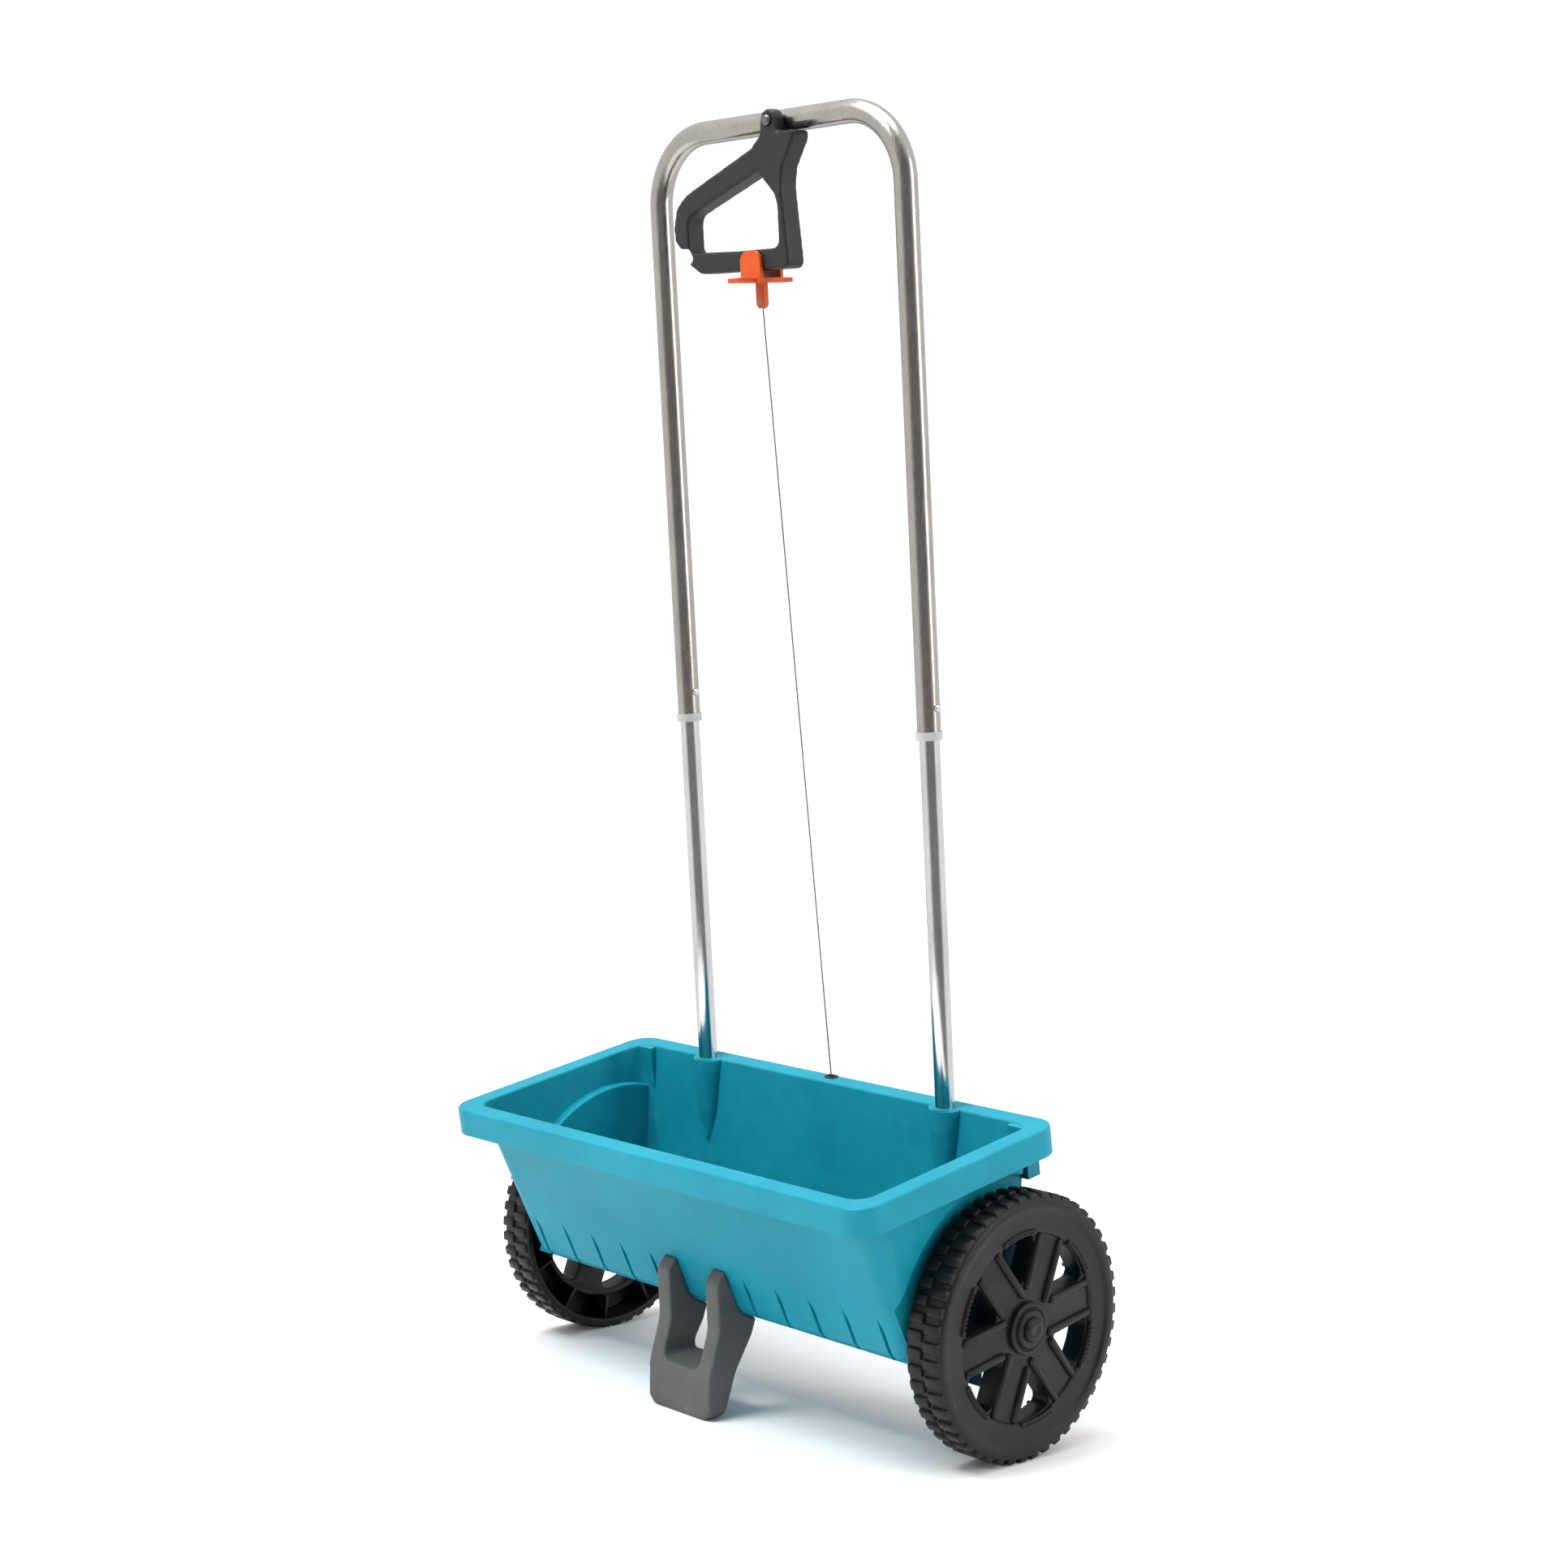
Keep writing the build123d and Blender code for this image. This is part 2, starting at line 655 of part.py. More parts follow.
def foot_screws():
    top = foot_pad_top()
    parts = []
    for side in (1, -1):
        head = Pos(0, 0, top) * Cylinder(screw_head, 2.6, align=(Align.CENTER, Align.CENTER, Align.MIN))
        shank = Pos(0, 0, -26) * Cylinder(screw_radius, top + 26, align=(Align.CENTER, Align.CENTER, Align.MIN))
        parts.append(Pos(side * foot_screw_x, foot_screw_y, 0) * (shank + head))
    return parts


# ---------------------------------------------------------------- handle
bar_plane = Plane(origin=(0, bar_y, bar_height), x_dir=(1, 0, 0),
                  z_dir=(0, -cos(radians(lean_angle)), sin(radians(lean_angle))))


def along(height):
    """Height above the axle, turned into a place along the handle from the top bar."""
    return (height - bar_height) * handle_scale


def upper_tube():
    """The U-shaped upper tube, with a hole in each leg for its snap button."""
    end = along(upper_end)
    route = FilletPolyline((-tube_half, end), (-tube_half, 0), (tube_half, 0), (tube_half, end), radius=bar_bend)
    path = bar_plane * route
    section = Plane(origin=path @ 0, z_dir=path % 0)
    body = sweep(section * (Circle(upper_radius) - Circle(upper_radius - upper_wall)), path=path)
    for side in (1, -1):
        body -= button_hole(side, button_radius + button_gap)
    pivot = bar_plane * Pos(lever_pivot_x, 0, 0) * Cylinder(bolt_radius + running_gap, 4 * upper_radius)
    return body - pivot


def button_hole(side, radius):
    """A hole through the outer side of one leg's tubes, on the right of the tube."""
    place = Vector(*socket_axis(side * tube_half, button_height))
    return Pos(place.X + upper_radius, place.Y, place.Z) * Rot(0, 90, 0) * Cylinder(radius, upper_radius)


def lower_tube(side):
    body = leg_cylinder(side * tube_half, lower_radius, rim_height - socket_depth, lower_top)
    body -= leg_cylinder(side * tube_half, lower_radius - lower_wall, rim_height - socket_depth - 1, lower_top + 1)
    body -= button_hole(side, button_radius + button_gap)
    height = rim_height - socket_depth / 2 - rim_plate
    x, y, z = socket_axis(side * tube_half, height)
    return body - Pos(x, y + lower_radius, z) * Rot(90, 0, 0) * Cylinder(screw_radius + screw_gap, lower_radius)


def socket_screws():
    """Screws through the back of each socket into the lower tubes."""
    height = rim_height - socket_depth / 2 - rim_plate
    parts = []
    for side in (1, -1):
        x = side * tube_half
        seat = screw_y(height) - 1
        shank = Pos(x, seat, height) * Rot(90, 0, 0) * Cylinder(
            screw_radius, 2 * socket_wall + 3, align=(Align.CENTER, Align.CENTER, Align.MIN))
        head = Pos(x, seat + 2.4, height) * Rot(90, 0, 0) * Cylinder(
            screw_head, 2.4, align=(Align.CENTER, Align.CENTER, Align.MIN))
        parts.append(shank + head)
    return parts


def tube_collar(side):
    """The ring that closes the gap between upper and lower tube."""
    scale = 1 / handle_scale
    low = upper_end - 1.5 * scale
    high = low + collar_length * scale
    body = leg_cylinder(side * tube_half, collar_radius, low, high)
    body -= leg_cylinder(side * tube_half, lower_radius + socket_gap, low - 1, high)
    return body - leg_cylinder(side * tube_half, upper_radius + running_gap, upper_end, high + 1)


def snap_button(side):
    """A round button that pops out through both tubes and locks them."""
    place = Vector(*socket_axis(side * tube_half, button_height))
    stem = x_cylinder(button_radius, place.X + 4, place.X + upper_radius + button_proud, place.Y, place.Z)
    stem = fillet(stem.edges().sort_by(Axis.X)[-1], 1.2)
    return stem + x_cylinder(button_radius + 1.4, place.X + 3.4, place.X + 5.6, place.Y, place.Z)


def button_spring(side):
    """A bent strip inside the lower tube that pushes its button outwards."""
    x, y, z = socket_axis(side * tube_half, button_height)
    inside = lower_radius - lower_wall
    outer = [(3.3, -5), (3.3, 5), (0.5, 8), (-inside + 1.4, 26), (-inside + 0.6, 26), (-0.6, 7), (2.4, 4.4),
             (2.4, -4.4), (-0.6, -7), (-inside + 0.6, -26), (-inside + 1.4, -26), (0.5, -8)]
    strip = make_face(Polyline(*outer, close=True))
    body = extrude(bar_plane * strip, amount=2.5, both=True)
    offset = Vector(x, y, z) - Vector(0, bar_y, bar_height)
    return Pos(*offset) * body


# ---------------------------------------------------------------- squeeze lever
def lever_outline():
    """Outline of the lever in the plane of the handle, as x and distance up from the bar."""
    return [(lever_pivot_x - lever_ear, 0), (lever_pivot_x - lever_ear - 2, -11), (-8, -21), (-94, -53),
            (-107, -63), (-112, -80), (-111, -92), (-104, -99), (-95, -99), (-89, -108), (-94, -113), (-80, -122),
            (32, -124), (26, -56), (29, -40), (44, -17), (43, -10 - lever_gap),
            (lever_pivot_x + lever_ear, -10 - lever_gap), (lever_pivot_x + lever_ear, 0)]


def lever_window():
    """The finger opening of the lever."""
    face = make_face(Polyline((-93, -103), (-93, -72), (-2, -41), (20, -64), (20, -106), (-30, -105.5),
                              close=True))
    for point, radius in (((-93, -103), 5), ((-93, -72), 10), ((-2, -41), 5), ((20, -64), 22), ((20, -106), 7)):
        face = fillet(nearest_vertex(face, point), radius)
    return face


def lever_face():
    face = make_face(Polyline(*lever_outline(), close=True))
    face += Pos(lever_pivot_x, 0) * Circle(lever_ear)
    for point, radius in (((-94, -53), 22), ((-107, -63), 12), ((32, -124), 6), ((44, -17), 4), ((26, -56), 20),
                          ((-8, -21), 14), ((-80, -122), 10)):
        face = fillet(nearest_vertex(face, point), radius)
    return face - lever_window()


def squeeze_lever():
    """A flat D-shaped lever that hangs from a bolt through the top bar."""
    body = extrude(bar_plane.offset(lever_back) * lever_face(), amount=lever_front - lever_back)
    reach = 2 * tube_half
    clear = upper_radius + lever_gap
    over = Pos(0, (clear + reach) / 2 - clear) * Rectangle(2 * reach, reach + clear)
    swing = Rot(0, 0, lever_travel) * Pos(-reach / 2, (reach - clear) / 2) * Rectangle(reach, reach + clear)
    cut = extrude(bar_plane.offset(-clear) * (Pos(lever_pivot_x, 0) * over), amount=2 * clear)
    cut += extrude(bar_plane.offset(-clear) * (Pos(lever_pivot_x, 0) * swing), amount=2 * clear)
    body -= cut
    return body - bar_plane * Pos(lever_pivot_x, 0, 0) * Cylinder(bolt_radius + running_gap, 4 * lever_front)


def pivot_bolt():
    """The shoulder bolt that the lever turns on, with its domed head at the front."""
    seat = lever_front + lever_gap
    shank = bar_plane.offset(-upper_radius - 8) * Circle(bolt_radius)
    body = extrude(shank, amount=seat + upper_radius + 8)
    head = extrude(bar_plane.offset(seat) * Circle(bolt_head), amount=3)
    place = Pos(lever_pivot_x, 0, 0)
    bolt = body + fillet(head.edges().sort_by(Axis.Y)[0], 1.8)
    return shift_along_x(bolt, lever_pivot_x)


def shift_along_x(body, distance):
    return Pos(distance, 0, 0) * body


def pivot_nut():
    """A nut with a saddle washer behind the bar."""
    nut = extrude(bar_plane.offset(-upper_radius - 6) * (RegularPolygon(5.2, 6) - Circle(bolt_radius + 0.02)), amount=5)
    return shift_along_x(nut, lever_pivot_x)


def bar_saddle():
    """A curved washer between the bar and the nut."""
    blank = extrude(bar_plane.offset(-upper_radius - 1) * RectangleRounded(14, 12, 2), amount=5)
    round_bar = Pos(0, bar_y, bar_height) * Rot(0, 90, 0) * Cylinder(upper_radius + running_gap, 40)
    blank -= round_bar
    hole = extrude(bar_plane.offset(-upper_radius - 2) * Circle(bolt_radius + 0.05), amount=8)
    return shift_along_x(blank - hole, lever_pivot_x)


def clip_levels():
    """Top of the clip's cheeks, underside of the lever's lower bar and underside of the clip."""
    under = -123.4
    return under + 17.0, under, under - 10.0


def wire_clip():
    """The clip that straddles the lower bar of the lever and holds the end of the wire."""
    top, under, low = clip_levels()
    middle = (lever_front + lever_back) / 2
    cheek_low = low + wing_thickness
    cheek = Pos(clip_x, (top + cheek_low) / 2) * RectangleRounded(clip_width, top - cheek_low, 9)
    cheek += Pos(clip_x, cheek_low + 5) * Rectangle(clip_width, 10)
    front = extrude(bar_plane.offset(lever_front + clip_gap) * cheek, amount=clip_wall)
    back = extrude(bar_plane.offset(lever_back - clip_gap - clip_wall) * cheek, amount=clip_wall)
    depth = lever_front - lever_back + 2 * (clip_gap + clip_wall)
    floor = Pos(clip_x, low + wing_thickness / 2) * Rectangle(clip_width, wing_thickness)
    body = front + back + extrude(bar_plane.offset(middle - depth / 2) * floor, amount=depth)
    wing = Pos(clip_x, low + wing_thickness / 2) * Rectangle(wing_width, wing_thickness)
    body += extrude(bar_plane.offset(wing_back) * wing, amount=wing_front - wing_back)
    stem = Pos(eye_x, (low - eye_drop) / 2) * Rectangle(2 * stem_radius, abs(low + eye_drop)) + Pos(
        eye_x, -eye_drop) * Circle(stem_radius)
    body += extrude(bar_plane.offset(middle - 3) * stem, amount=6)
    reach = 2 * stem_radius
    side = 2 * wire_radius
    swept = make_face(Polyline((-side, 0), (-side, -reach), (reach * tan(radians(wire_swing)) + side, -reach),
                               (side, 0), close=True))
    body -= extrude(bar_plane.offset(middle - side) * Pos(eye_x, -eye_drop) * swept, amount=2 * side)
    return body - extrude(bar_plane.offset(middle - 4) * (Pos(eye_x, -eye_drop) * Circle(
        nipple_radius + running_gap)), amount=8)


# ---------------------------------------------------------------- pull wire
def eye_place():
    """Middle of the clip's eyelet, in the hopper's frame."""
    middle = (lever_front + lever_back) / 2
    return bar_plane.offset(middle).from_local_coords(Vector(eye_x, -eye_drop, 0))


def rim_place():
    return Vector(0, slot_y, rim_height)


def rod(start, end, radius):
    plane = Plane(origin=start, z_dir=end - start)
    return extrude(plane * Circle(radius), amount=(end - start).length)


def upper_wire():
    """From the nipple in the clip's eyelet, straight down and just past the rim."""
    start = eye_place()
    down = (rim_place() - start).normalized()
    end = rim_place() + down * (wire_tuck - wire_gap)
    nipple = extrude(bar_plane.offset((lever_front + lever_back) / 2 - 2.9) * (
        Pos(eye_x, -eye_drop) * Circle(nipple_radius)), amount=5.8)
    return rod(start, end, wire_radius) + nipple


def lower_wire():
    """From inside the skirt down to an eye round the cross pin of the shutter arm."""
    pin = Vector(0, pin_y, pin_z)
    top = rim_place() + (pin - rim_place()).normalized() * wire_tuck
    eye_outer = arm_pin_radius + 2.2
    eye = x_cylinder(eye_outer, -1.0, 1.0, pin_y, pin_z) - x_cylinder(arm_pin_radius + 0.8, -2, 2, pin_y, pin_z)
    start = pin + (rim_place() - pin).normalized() * (eye_outer - 0.6)
    return rod(start, top, wire_radius) + eye


def rim_grommet():
    """The liner of the slot in the back of the rim, where the wire goes through."""
    collar = extrude(SlotOverall(slot_length + 3, slot_width + 3), amount=1)
    body = extrude(SlotOverall(slot_length - 0.2, slot_width - 0.2), amount=-rim_plate - 1)
    bore = SlotOverall(slot_length - 2 * grommet_wall, slot_width - 2 * grommet_wall)
    through = extrude(bore, amount=10, both=True)
    return Pos(0, slot_y, rim_height) * (collar + body - through)


# ---------------------------------------------------------------- write the pieces
def all_parts():
    parts = {"hopper": hopper(), "foot": foot(), "foot_screws": foot_screws(), "socket_screws": socket_screws(),
             "guide_straps": guide_straps(), "return_springs": return_springs(), "shutter_plate": shutter_plate(),
             "shutter_arm": shutter_arm(), "axle_shaft": axle_shaft(),
             "agitator_sleeve": agitator_sleeve(), "agitator_fingers": agitator_fingers(),
             "drive_pin": drive_pin(), "retaining_ring": retaining_ring(), "upper_tube": upper_tube(),
             "squeeze_lever": squeeze_lever(), "pivot_bolt": pivot_bolt(), "pivot_nut": pivot_nut(),
             "bar_saddle": bar_saddle(), "wire_clip": wire_clip(), "upper_wire": upper_wire(),
             "lower_wire": lower_wire(), "rim_grommet": rim_grommet()}
    for name, side in axle_side.items():
        parts[f"wheel_{name}"] = wheel(side)
        parts[f"hub_cap_{name}"] = hub_cap(side)
        parts[f"axle_bush_{name}"] = axle_bush(side)
        parts[f"lower_tube_{name}"] = lower_tube(side)
        parts[f"tube_collar_{name}"] = tube_collar(side)
        parts[f"snap_button_{name}"] = snap_button(side)
        parts[f"button_spring_{name}"] = button_spring(side)
    return parts


def parked(shapes, shift):
    """Leans the pieces forward onto the foot and sets them on the ground."""
    placed = [Pos(0, shift, wheel_radius) * Rot(park_angle, 0, 0) * s for s in shapes]
    return Compound(children=placed) if len(placed) > 1 else placed[0]


def as_list(shape):
    return shape if isinstance(shape, list) else [shape]


front_reach = turn(rim_front + rim_round, rim_height - rim_round, park_angle)[0] - rim_round
ground_shift = -(front_reach + wheel_radius) / 2     # brings the origin under the middle of the box

if __name__ == "__main__":
    os.makedirs("parts", exist_ok=True)
    for name, shape in all_parts().items():
        export_step(parked(as_list(shape), ground_shift), f"parts/{name}.step")
        print(name)
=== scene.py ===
import json
import math

import bmesh
import bpy
from mathutils import Matrix, Vector


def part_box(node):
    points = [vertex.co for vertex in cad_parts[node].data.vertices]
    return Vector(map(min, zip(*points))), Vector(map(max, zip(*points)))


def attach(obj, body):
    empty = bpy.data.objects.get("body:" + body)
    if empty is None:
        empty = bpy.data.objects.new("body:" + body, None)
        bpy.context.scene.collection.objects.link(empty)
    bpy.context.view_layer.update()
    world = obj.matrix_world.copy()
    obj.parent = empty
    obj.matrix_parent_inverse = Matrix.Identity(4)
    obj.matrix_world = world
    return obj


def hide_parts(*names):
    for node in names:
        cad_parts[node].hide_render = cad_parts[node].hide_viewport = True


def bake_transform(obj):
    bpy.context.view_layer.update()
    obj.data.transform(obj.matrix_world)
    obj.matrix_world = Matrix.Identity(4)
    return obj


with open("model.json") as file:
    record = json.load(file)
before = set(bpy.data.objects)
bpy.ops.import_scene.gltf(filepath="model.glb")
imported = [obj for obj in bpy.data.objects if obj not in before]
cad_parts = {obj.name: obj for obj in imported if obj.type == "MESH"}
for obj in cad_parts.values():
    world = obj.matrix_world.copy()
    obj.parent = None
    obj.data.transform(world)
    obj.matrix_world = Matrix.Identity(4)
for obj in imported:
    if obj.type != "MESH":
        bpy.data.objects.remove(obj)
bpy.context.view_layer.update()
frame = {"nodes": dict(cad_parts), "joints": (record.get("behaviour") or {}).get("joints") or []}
nodes = frame["nodes"]
joints = {joint["name"]: joint for joint in frame["joints"]}
print("frame loaded with", len(nodes), "nodes")

mm = 0.001
weldDistance = 2e-6                                           # joins the vertices of a packed or filled mesh
seamDistance = 1e-6                                           # closes a lathed mesh
parkAngle = math.radians(11)                                  # rim tipped forward onto the foot
axle = Vector(joints["drive_wheel_spin"]["pos_m"])
hopperPlace = Matrix.Translation(axle) @ Matrix.Rotation(parkAngle, 4, "X")


# small helpers for materials

def newMaterial(name, colour, roughness, metallic=0.0, specular=0.5):
    material = bpy.data.materials.new(name)
    material.use_nodes = True
    shader = material.node_tree.nodes["Principled BSDF"]
    shader.inputs["Base Color"].default_value = (*colour, 1)
    shader.inputs["Roughness"].default_value = roughness
    shader.inputs["Metallic"].default_value = metallic
    shader.inputs["Specular IOR Level"].default_value = specular
    return material, material.node_tree, shader


def objectPoints(tree, scale=(1, 1, 1)):
    place = tree.nodes.new("ShaderNodeTexCoord")
    mapping = tree.nodes.new("ShaderNodeMapping")
    mapping.inputs["Scale"].default_value = scale
    tree.links.new(place.outputs["Object"], mapping.inputs["Vector"])
    return mapping.outputs["Vector"]


def noise(tree, points, scale, detail=3, rough=0.5):
    texture = tree.nodes.new("ShaderNodeTexNoise")
    texture.inputs["Scale"].default_value = scale
    texture.inputs["Detail"].default_value = detail
    texture.inputs["Roughness"].default_value = rough
    tree.links.new(points, texture.inputs["Vector"])
    return texture.outputs["Fac"]


def remap(tree, value, low, high, toLow, toHigh):
    node = tree.nodes.new("ShaderNodeMapRange")
    for name, number in (("From Min", low), ("From Max", high), ("To Min", toLow), ("To Max", toHigh)):
        node.inputs[name].default_value = number
    tree.links.new(value, node.inputs["Value"])
    return node.outputs["Result"]


def mixColours(tree, factor, first, second):
    node = tree.nodes.new("ShaderNodeMix")
    node.data_type = "RGBA"
    tree.links.new(factor, node.inputs["Factor"])
    for socket, colour in ((node.inputs["A"], first), (node.inputs["B"], second)):
        if isinstance(colour, (tuple, list)):
            socket.default_value = (*colour, 1)
        else:
            tree.links.new(colour, socket)
    return node.outputs["Result"]


def maths(tree, operation, first, second):
    node = tree.nodes.new("ShaderNodeMath")
    node.operation = operation
    for socket, value in zip(node.inputs, (first, second)):
        if isinstance(value, (int, float)):
            socket.default_value = value
        else:
            tree.links.new(value, socket)
    return node.outputs["Value"]


def bump(tree, height, strength, distance, below=None):
    node = tree.nodes.new("ShaderNodeBump")
    node.inputs["Strength"].default_value = strength
    node.inputs["Distance"].default_value = distance
    tree.links.new(height, node.inputs["Height"])
    if below is not None:
        tree.links.new(below, node.inputs["Normal"])
    return node.outputs["Normal"]


# moulded plastics

plasticMix = {"cloudShare": 0.65, "mottleShare": 0.35, "tintFrom": 0.36, "tintTo": 0.64, "scuffFrom": 0.60,
              "scuffTo": 0.72, "mottleFrom": 0.3, "mottleTo": 0.7, "smoother": 0.05, "rougher": 0.06,
              "scuffRoughness": 0.25, "waveDistance": 0.0012, "grainDistance": 0.00025}


def mouldedPlastic(name, settings):
    mix = plasticMix
    dark, light = settings["dark"], settings["light"]
    material, tree, shader = newMaterial(name, light, settings["roughness"], specular=settings["specular"])
    points = objectPoints(tree)
    cloud = noise(tree, points, settings["cloudScale"], 4, 0.55)
    mottle = noise(tree, points, settings["mottleScale"], 5, 0.6)
    tint = maths(tree, "ADD", maths(tree, "MULTIPLY", cloud, mix["cloudShare"]),
                 maths(tree, "MULTIPLY", mottle, mix["mottleShare"]))
    colour = mixColours(tree, remap(tree, tint, mix["tintFrom"], mix["tintTo"], 0, 1), dark, light)
    scuff = noise(tree, objectPoints(tree, settings["scuffStretch"]), settings["scuffScale"], 8, 0.7)
    scuffMask = remap(tree, scuff, mix["scuffFrom"], mix["scuffTo"], 0, settings["scuff"])
    colour = mixColours(tree, scuffMask, colour, settings["scuffColour"])
    tree.links.new(colour, shader.inputs["Base Color"])
    fine = noise(tree, points, settings["grainScale"], 2, 0.5)
    rough = remap(tree, mottle, mix["mottleFrom"], mix["mottleTo"], settings["roughness"] - mix["smoother"],
                  settings["roughness"] + mix["rougher"])
    rough = maths(tree, "ADD", rough, maths(tree, "MULTIPLY", scuffMask, mix["scuffRoughness"]))
    tree.links.new(rough, shader.inputs["Roughness"])
    soft = bump(tree, cloud, settings["waveStrength"], mix["waveDistance"])
    tree.links.new(bump(tree, fine, settings["grain"], mix["grainDistance"], soft), shader.inputs["Normal"])
    return material


hopperPlastic = {"dark": (0.005, 0.222, 0.305), "light": (0.008, 0.280, 0.375), "roughness": 0.42, "specular": 0.16,
                 "cloudScale": 9, "mottleScale": 60, "scuffScale": 14, "scuffStretch": (1, 3, 3), "scuff": 0.10,
                 "scuffColour": (0.16, 0.52, 0.60), "grainScale": 2600, "grain": 0.16, "waveStrength": 0.08}
wheelPlastic = {"dark": (0.0045, 0.0045, 0.005), "light": (0.008, 0.008, 0.0085), "roughness": 0.42, "specular": 0.24,
                "cloudScale": 14, "mottleScale": 90, "scuffScale": 30, "scuffStretch": (1, 1, 1), "scuff": 0.22,
                "scuffColour": (0.034, 0.033, 0.031), "grainScale": 2200, "grain": 0.25, "waveStrength": 0.05}
leverPlastic = {"dark": (0.009, 0.009, 0.0095), "light": (0.015, 0.015, 0.0155), "roughness": 0.46, "specular": 0.36,
                "cloudScale": 30, "mottleScale": 160, "scuffScale": 60, "scuffStretch": (1, 1, 1), "scuff": 0.15,
                "scuffColour": (0.045, 0.045, 0.045), "grainScale": 3000, "grain": 0.35, "waveStrength": 0.05}
footPlastic = {"dark": (0.082, 0.083, 0.083), "light": (0.106, 0.107, 0.106), "roughness": 0.50, "specular": 0.25,
               "cloudScale": 22, "mottleScale": 120, "scuffScale": 40, "scuffStretch": (1, 1, 0.6), "scuff": 0.25,
               "scuffColour": (0.22, 0.22, 0.21), "grainScale": 2600, "grain": 0.30, "waveStrength": 0.05}
clipPlastic = {"dark": (0.50, 0.058, 0.001), "light": (0.64, 0.088, 0.002), "roughness": 0.36, "specular": 0.35,
               "cloudScale": 60, "mottleScale": 260, "scuffScale": 90, "scuffStretch": (1, 1, 1), "scuff": 0.12,
               "scuffColour": (0.85, 0.32, 0.14), "grainScale": 3200, "grain": 0.15, "waveStrength": 0.05}
collarPlastic = {"dark": (0.40, 0.40, 0.38), "light": (0.52, 0.52, 0.50), "roughness": 0.35, "specular": 0.5,
                 "cloudScale": 60, "mottleScale": 260, "scuffScale": 90, "scuffStretch": (1, 1, 1), "scuff": 0.12,
                 "scuffColour": (0.40, 0.40, 0.38), "grainScale": 3200, "grain": 0.12, "waveStrength": 0.05}


# metals

steelMix = {"lineShare": 0.6, "broadShare": 0.4, "tintFrom": 0.35, "tintTo": 0.65, "spotFrom": 0.62, "spotTo": 0.74,
            "lineFrom": 0.3, "lineTo": 0.7, "spotRoughness": 0.2, "lineDistance": 0.0002}


def drawnSteel(name, settings):
    mix = steelMix
    material, tree, shader = newMaterial(name, settings["light"], settings["roughness"], metallic=1.0)
    along = objectPoints(tree, settings["stretch"])
    lines = noise(tree, along, settings["lineScale"], 6, 0.65)
    broad = noise(tree, objectPoints(tree), settings["cloudScale"], 3, 0.5)
    tint = maths(tree, "ADD", maths(tree, "MULTIPLY", lines, mix["lineShare"]),
                 maths(tree, "MULTIPLY", broad, mix["broadShare"]))
    colour = mixColours(tree, remap(tree, tint, mix["tintFrom"], mix["tintTo"], 0, 1), settings["dark"],
                        settings["light"])
    spots = noise(tree, objectPoints(tree), settings["spotScale"], 6, 0.7)
    spotMask = remap(tree, spots, mix["spotFrom"], mix["spotTo"], 0, settings["spots"])
    tree.links.new(mixColours(tree, spotMask, colour, settings["spotColour"]), shader.inputs["Base Color"])
    rough = remap(tree, lines, mix["lineFrom"], mix["lineTo"], settings["roughness"] - settings["spread"],
                  settings["roughness"] + settings["spread"])
    rough = maths(tree, "ADD", rough, maths(tree, "MULTIPLY", spotMask, mix["spotRoughness"]))
    tree.links.new(rough, shader.inputs["Roughness"])
    tree.links.new(bump(tree, lines, settings["lineDepth"], mix["lineDistance"]), shader.inputs["Normal"])
    return material


upperSteel = {"dark": (0.33, 0.31, 0.28), "light": (0.44, 0.415, 0.38), "roughness": 0.25, "spread": 0.06,
              "stretch": (60, 60, 1.5), "lineScale": 14, "cloudScale": 18, "spotScale": 300, "spots": 0.08,
              "spotColour": (0.25, 0.24, 0.22), "lineDepth": 0.05}
lowerSteel = {"dark": (0.50, 0.50, 0.50), "light": (0.66, 0.665, 0.67), "roughness": 0.11, "spread": 0.04,
              "stretch": (60, 60, 1.5), "lineScale": 18, "cloudScale": 18, "spotScale": 260, "spots": 0.25,
              "spotColour": (0.34, 0.34, 0.33), "lineDepth": 0.05}
zincSteel = {"dark": (0.46, 0.47, 0.49), "light": (0.62, 0.63, 0.64), "roughness": 0.32, "spread": 0.08,
             "stretch": (1, 1, 1), "lineScale": 160, "cloudScale": 60, "spotScale": 300, "spots": 0.3,
             "spotColour": (0.40, 0.39, 0.33), "lineDepth": 0.1}
boltSteel = {"dark": (0.12, 0.12, 0.125), "light": (0.22, 0.22, 0.23), "roughness": 0.3, "spread": 0.08,
             "stretch": (1, 1, 1), "lineScale": 160, "cloudScale": 60, "spotScale": 300, "spots": 0.3,
             "spotColour": (0.10, 0.095, 0.09), "lineDepth": 0.1}
wireSteel = {"dark": (0.16, 0.16, 0.16), "light": (0.26, 0.26, 0.26), "roughness": 0.4, "spread": 0.05,
             "stretch": (1, 1, 0.2), "lineScale": 700, "cloudScale": 60, "spotScale": 500, "spots": 0.2,
             "spotColour": (0.14, 0.14, 0.14), "lineDepth": 0.1}

turquoise = mouldedPlastic("turquoise moulding", hopperPlastic)
blackWheel = mouldedPlastic("black wheel moulding", wheelPlastic)
blackLever = mouldedPlastic("black lever moulding", leverPlastic)
greyFoot = mouldedPlastic("grey foot moulding", footPlastic)
orangeClip = mouldedPlastic("orange clip moulding", clipPlastic)
paleCollar = mouldedPlastic("pale collar moulding", collarPlastic)
satinTube = drawnSteel("satin drawn tube", upperSteel)
brightTube = drawnSteel("bright plated tube", lowerSteel)
zincPart = drawnSteel("zinc plated steel", zincSteel)
wireMetal = drawnSteel("pull wire steel", wireSteel)
boltMetal = drawnSteel("blackened bolt steel", boltSteel)
print("materials made")

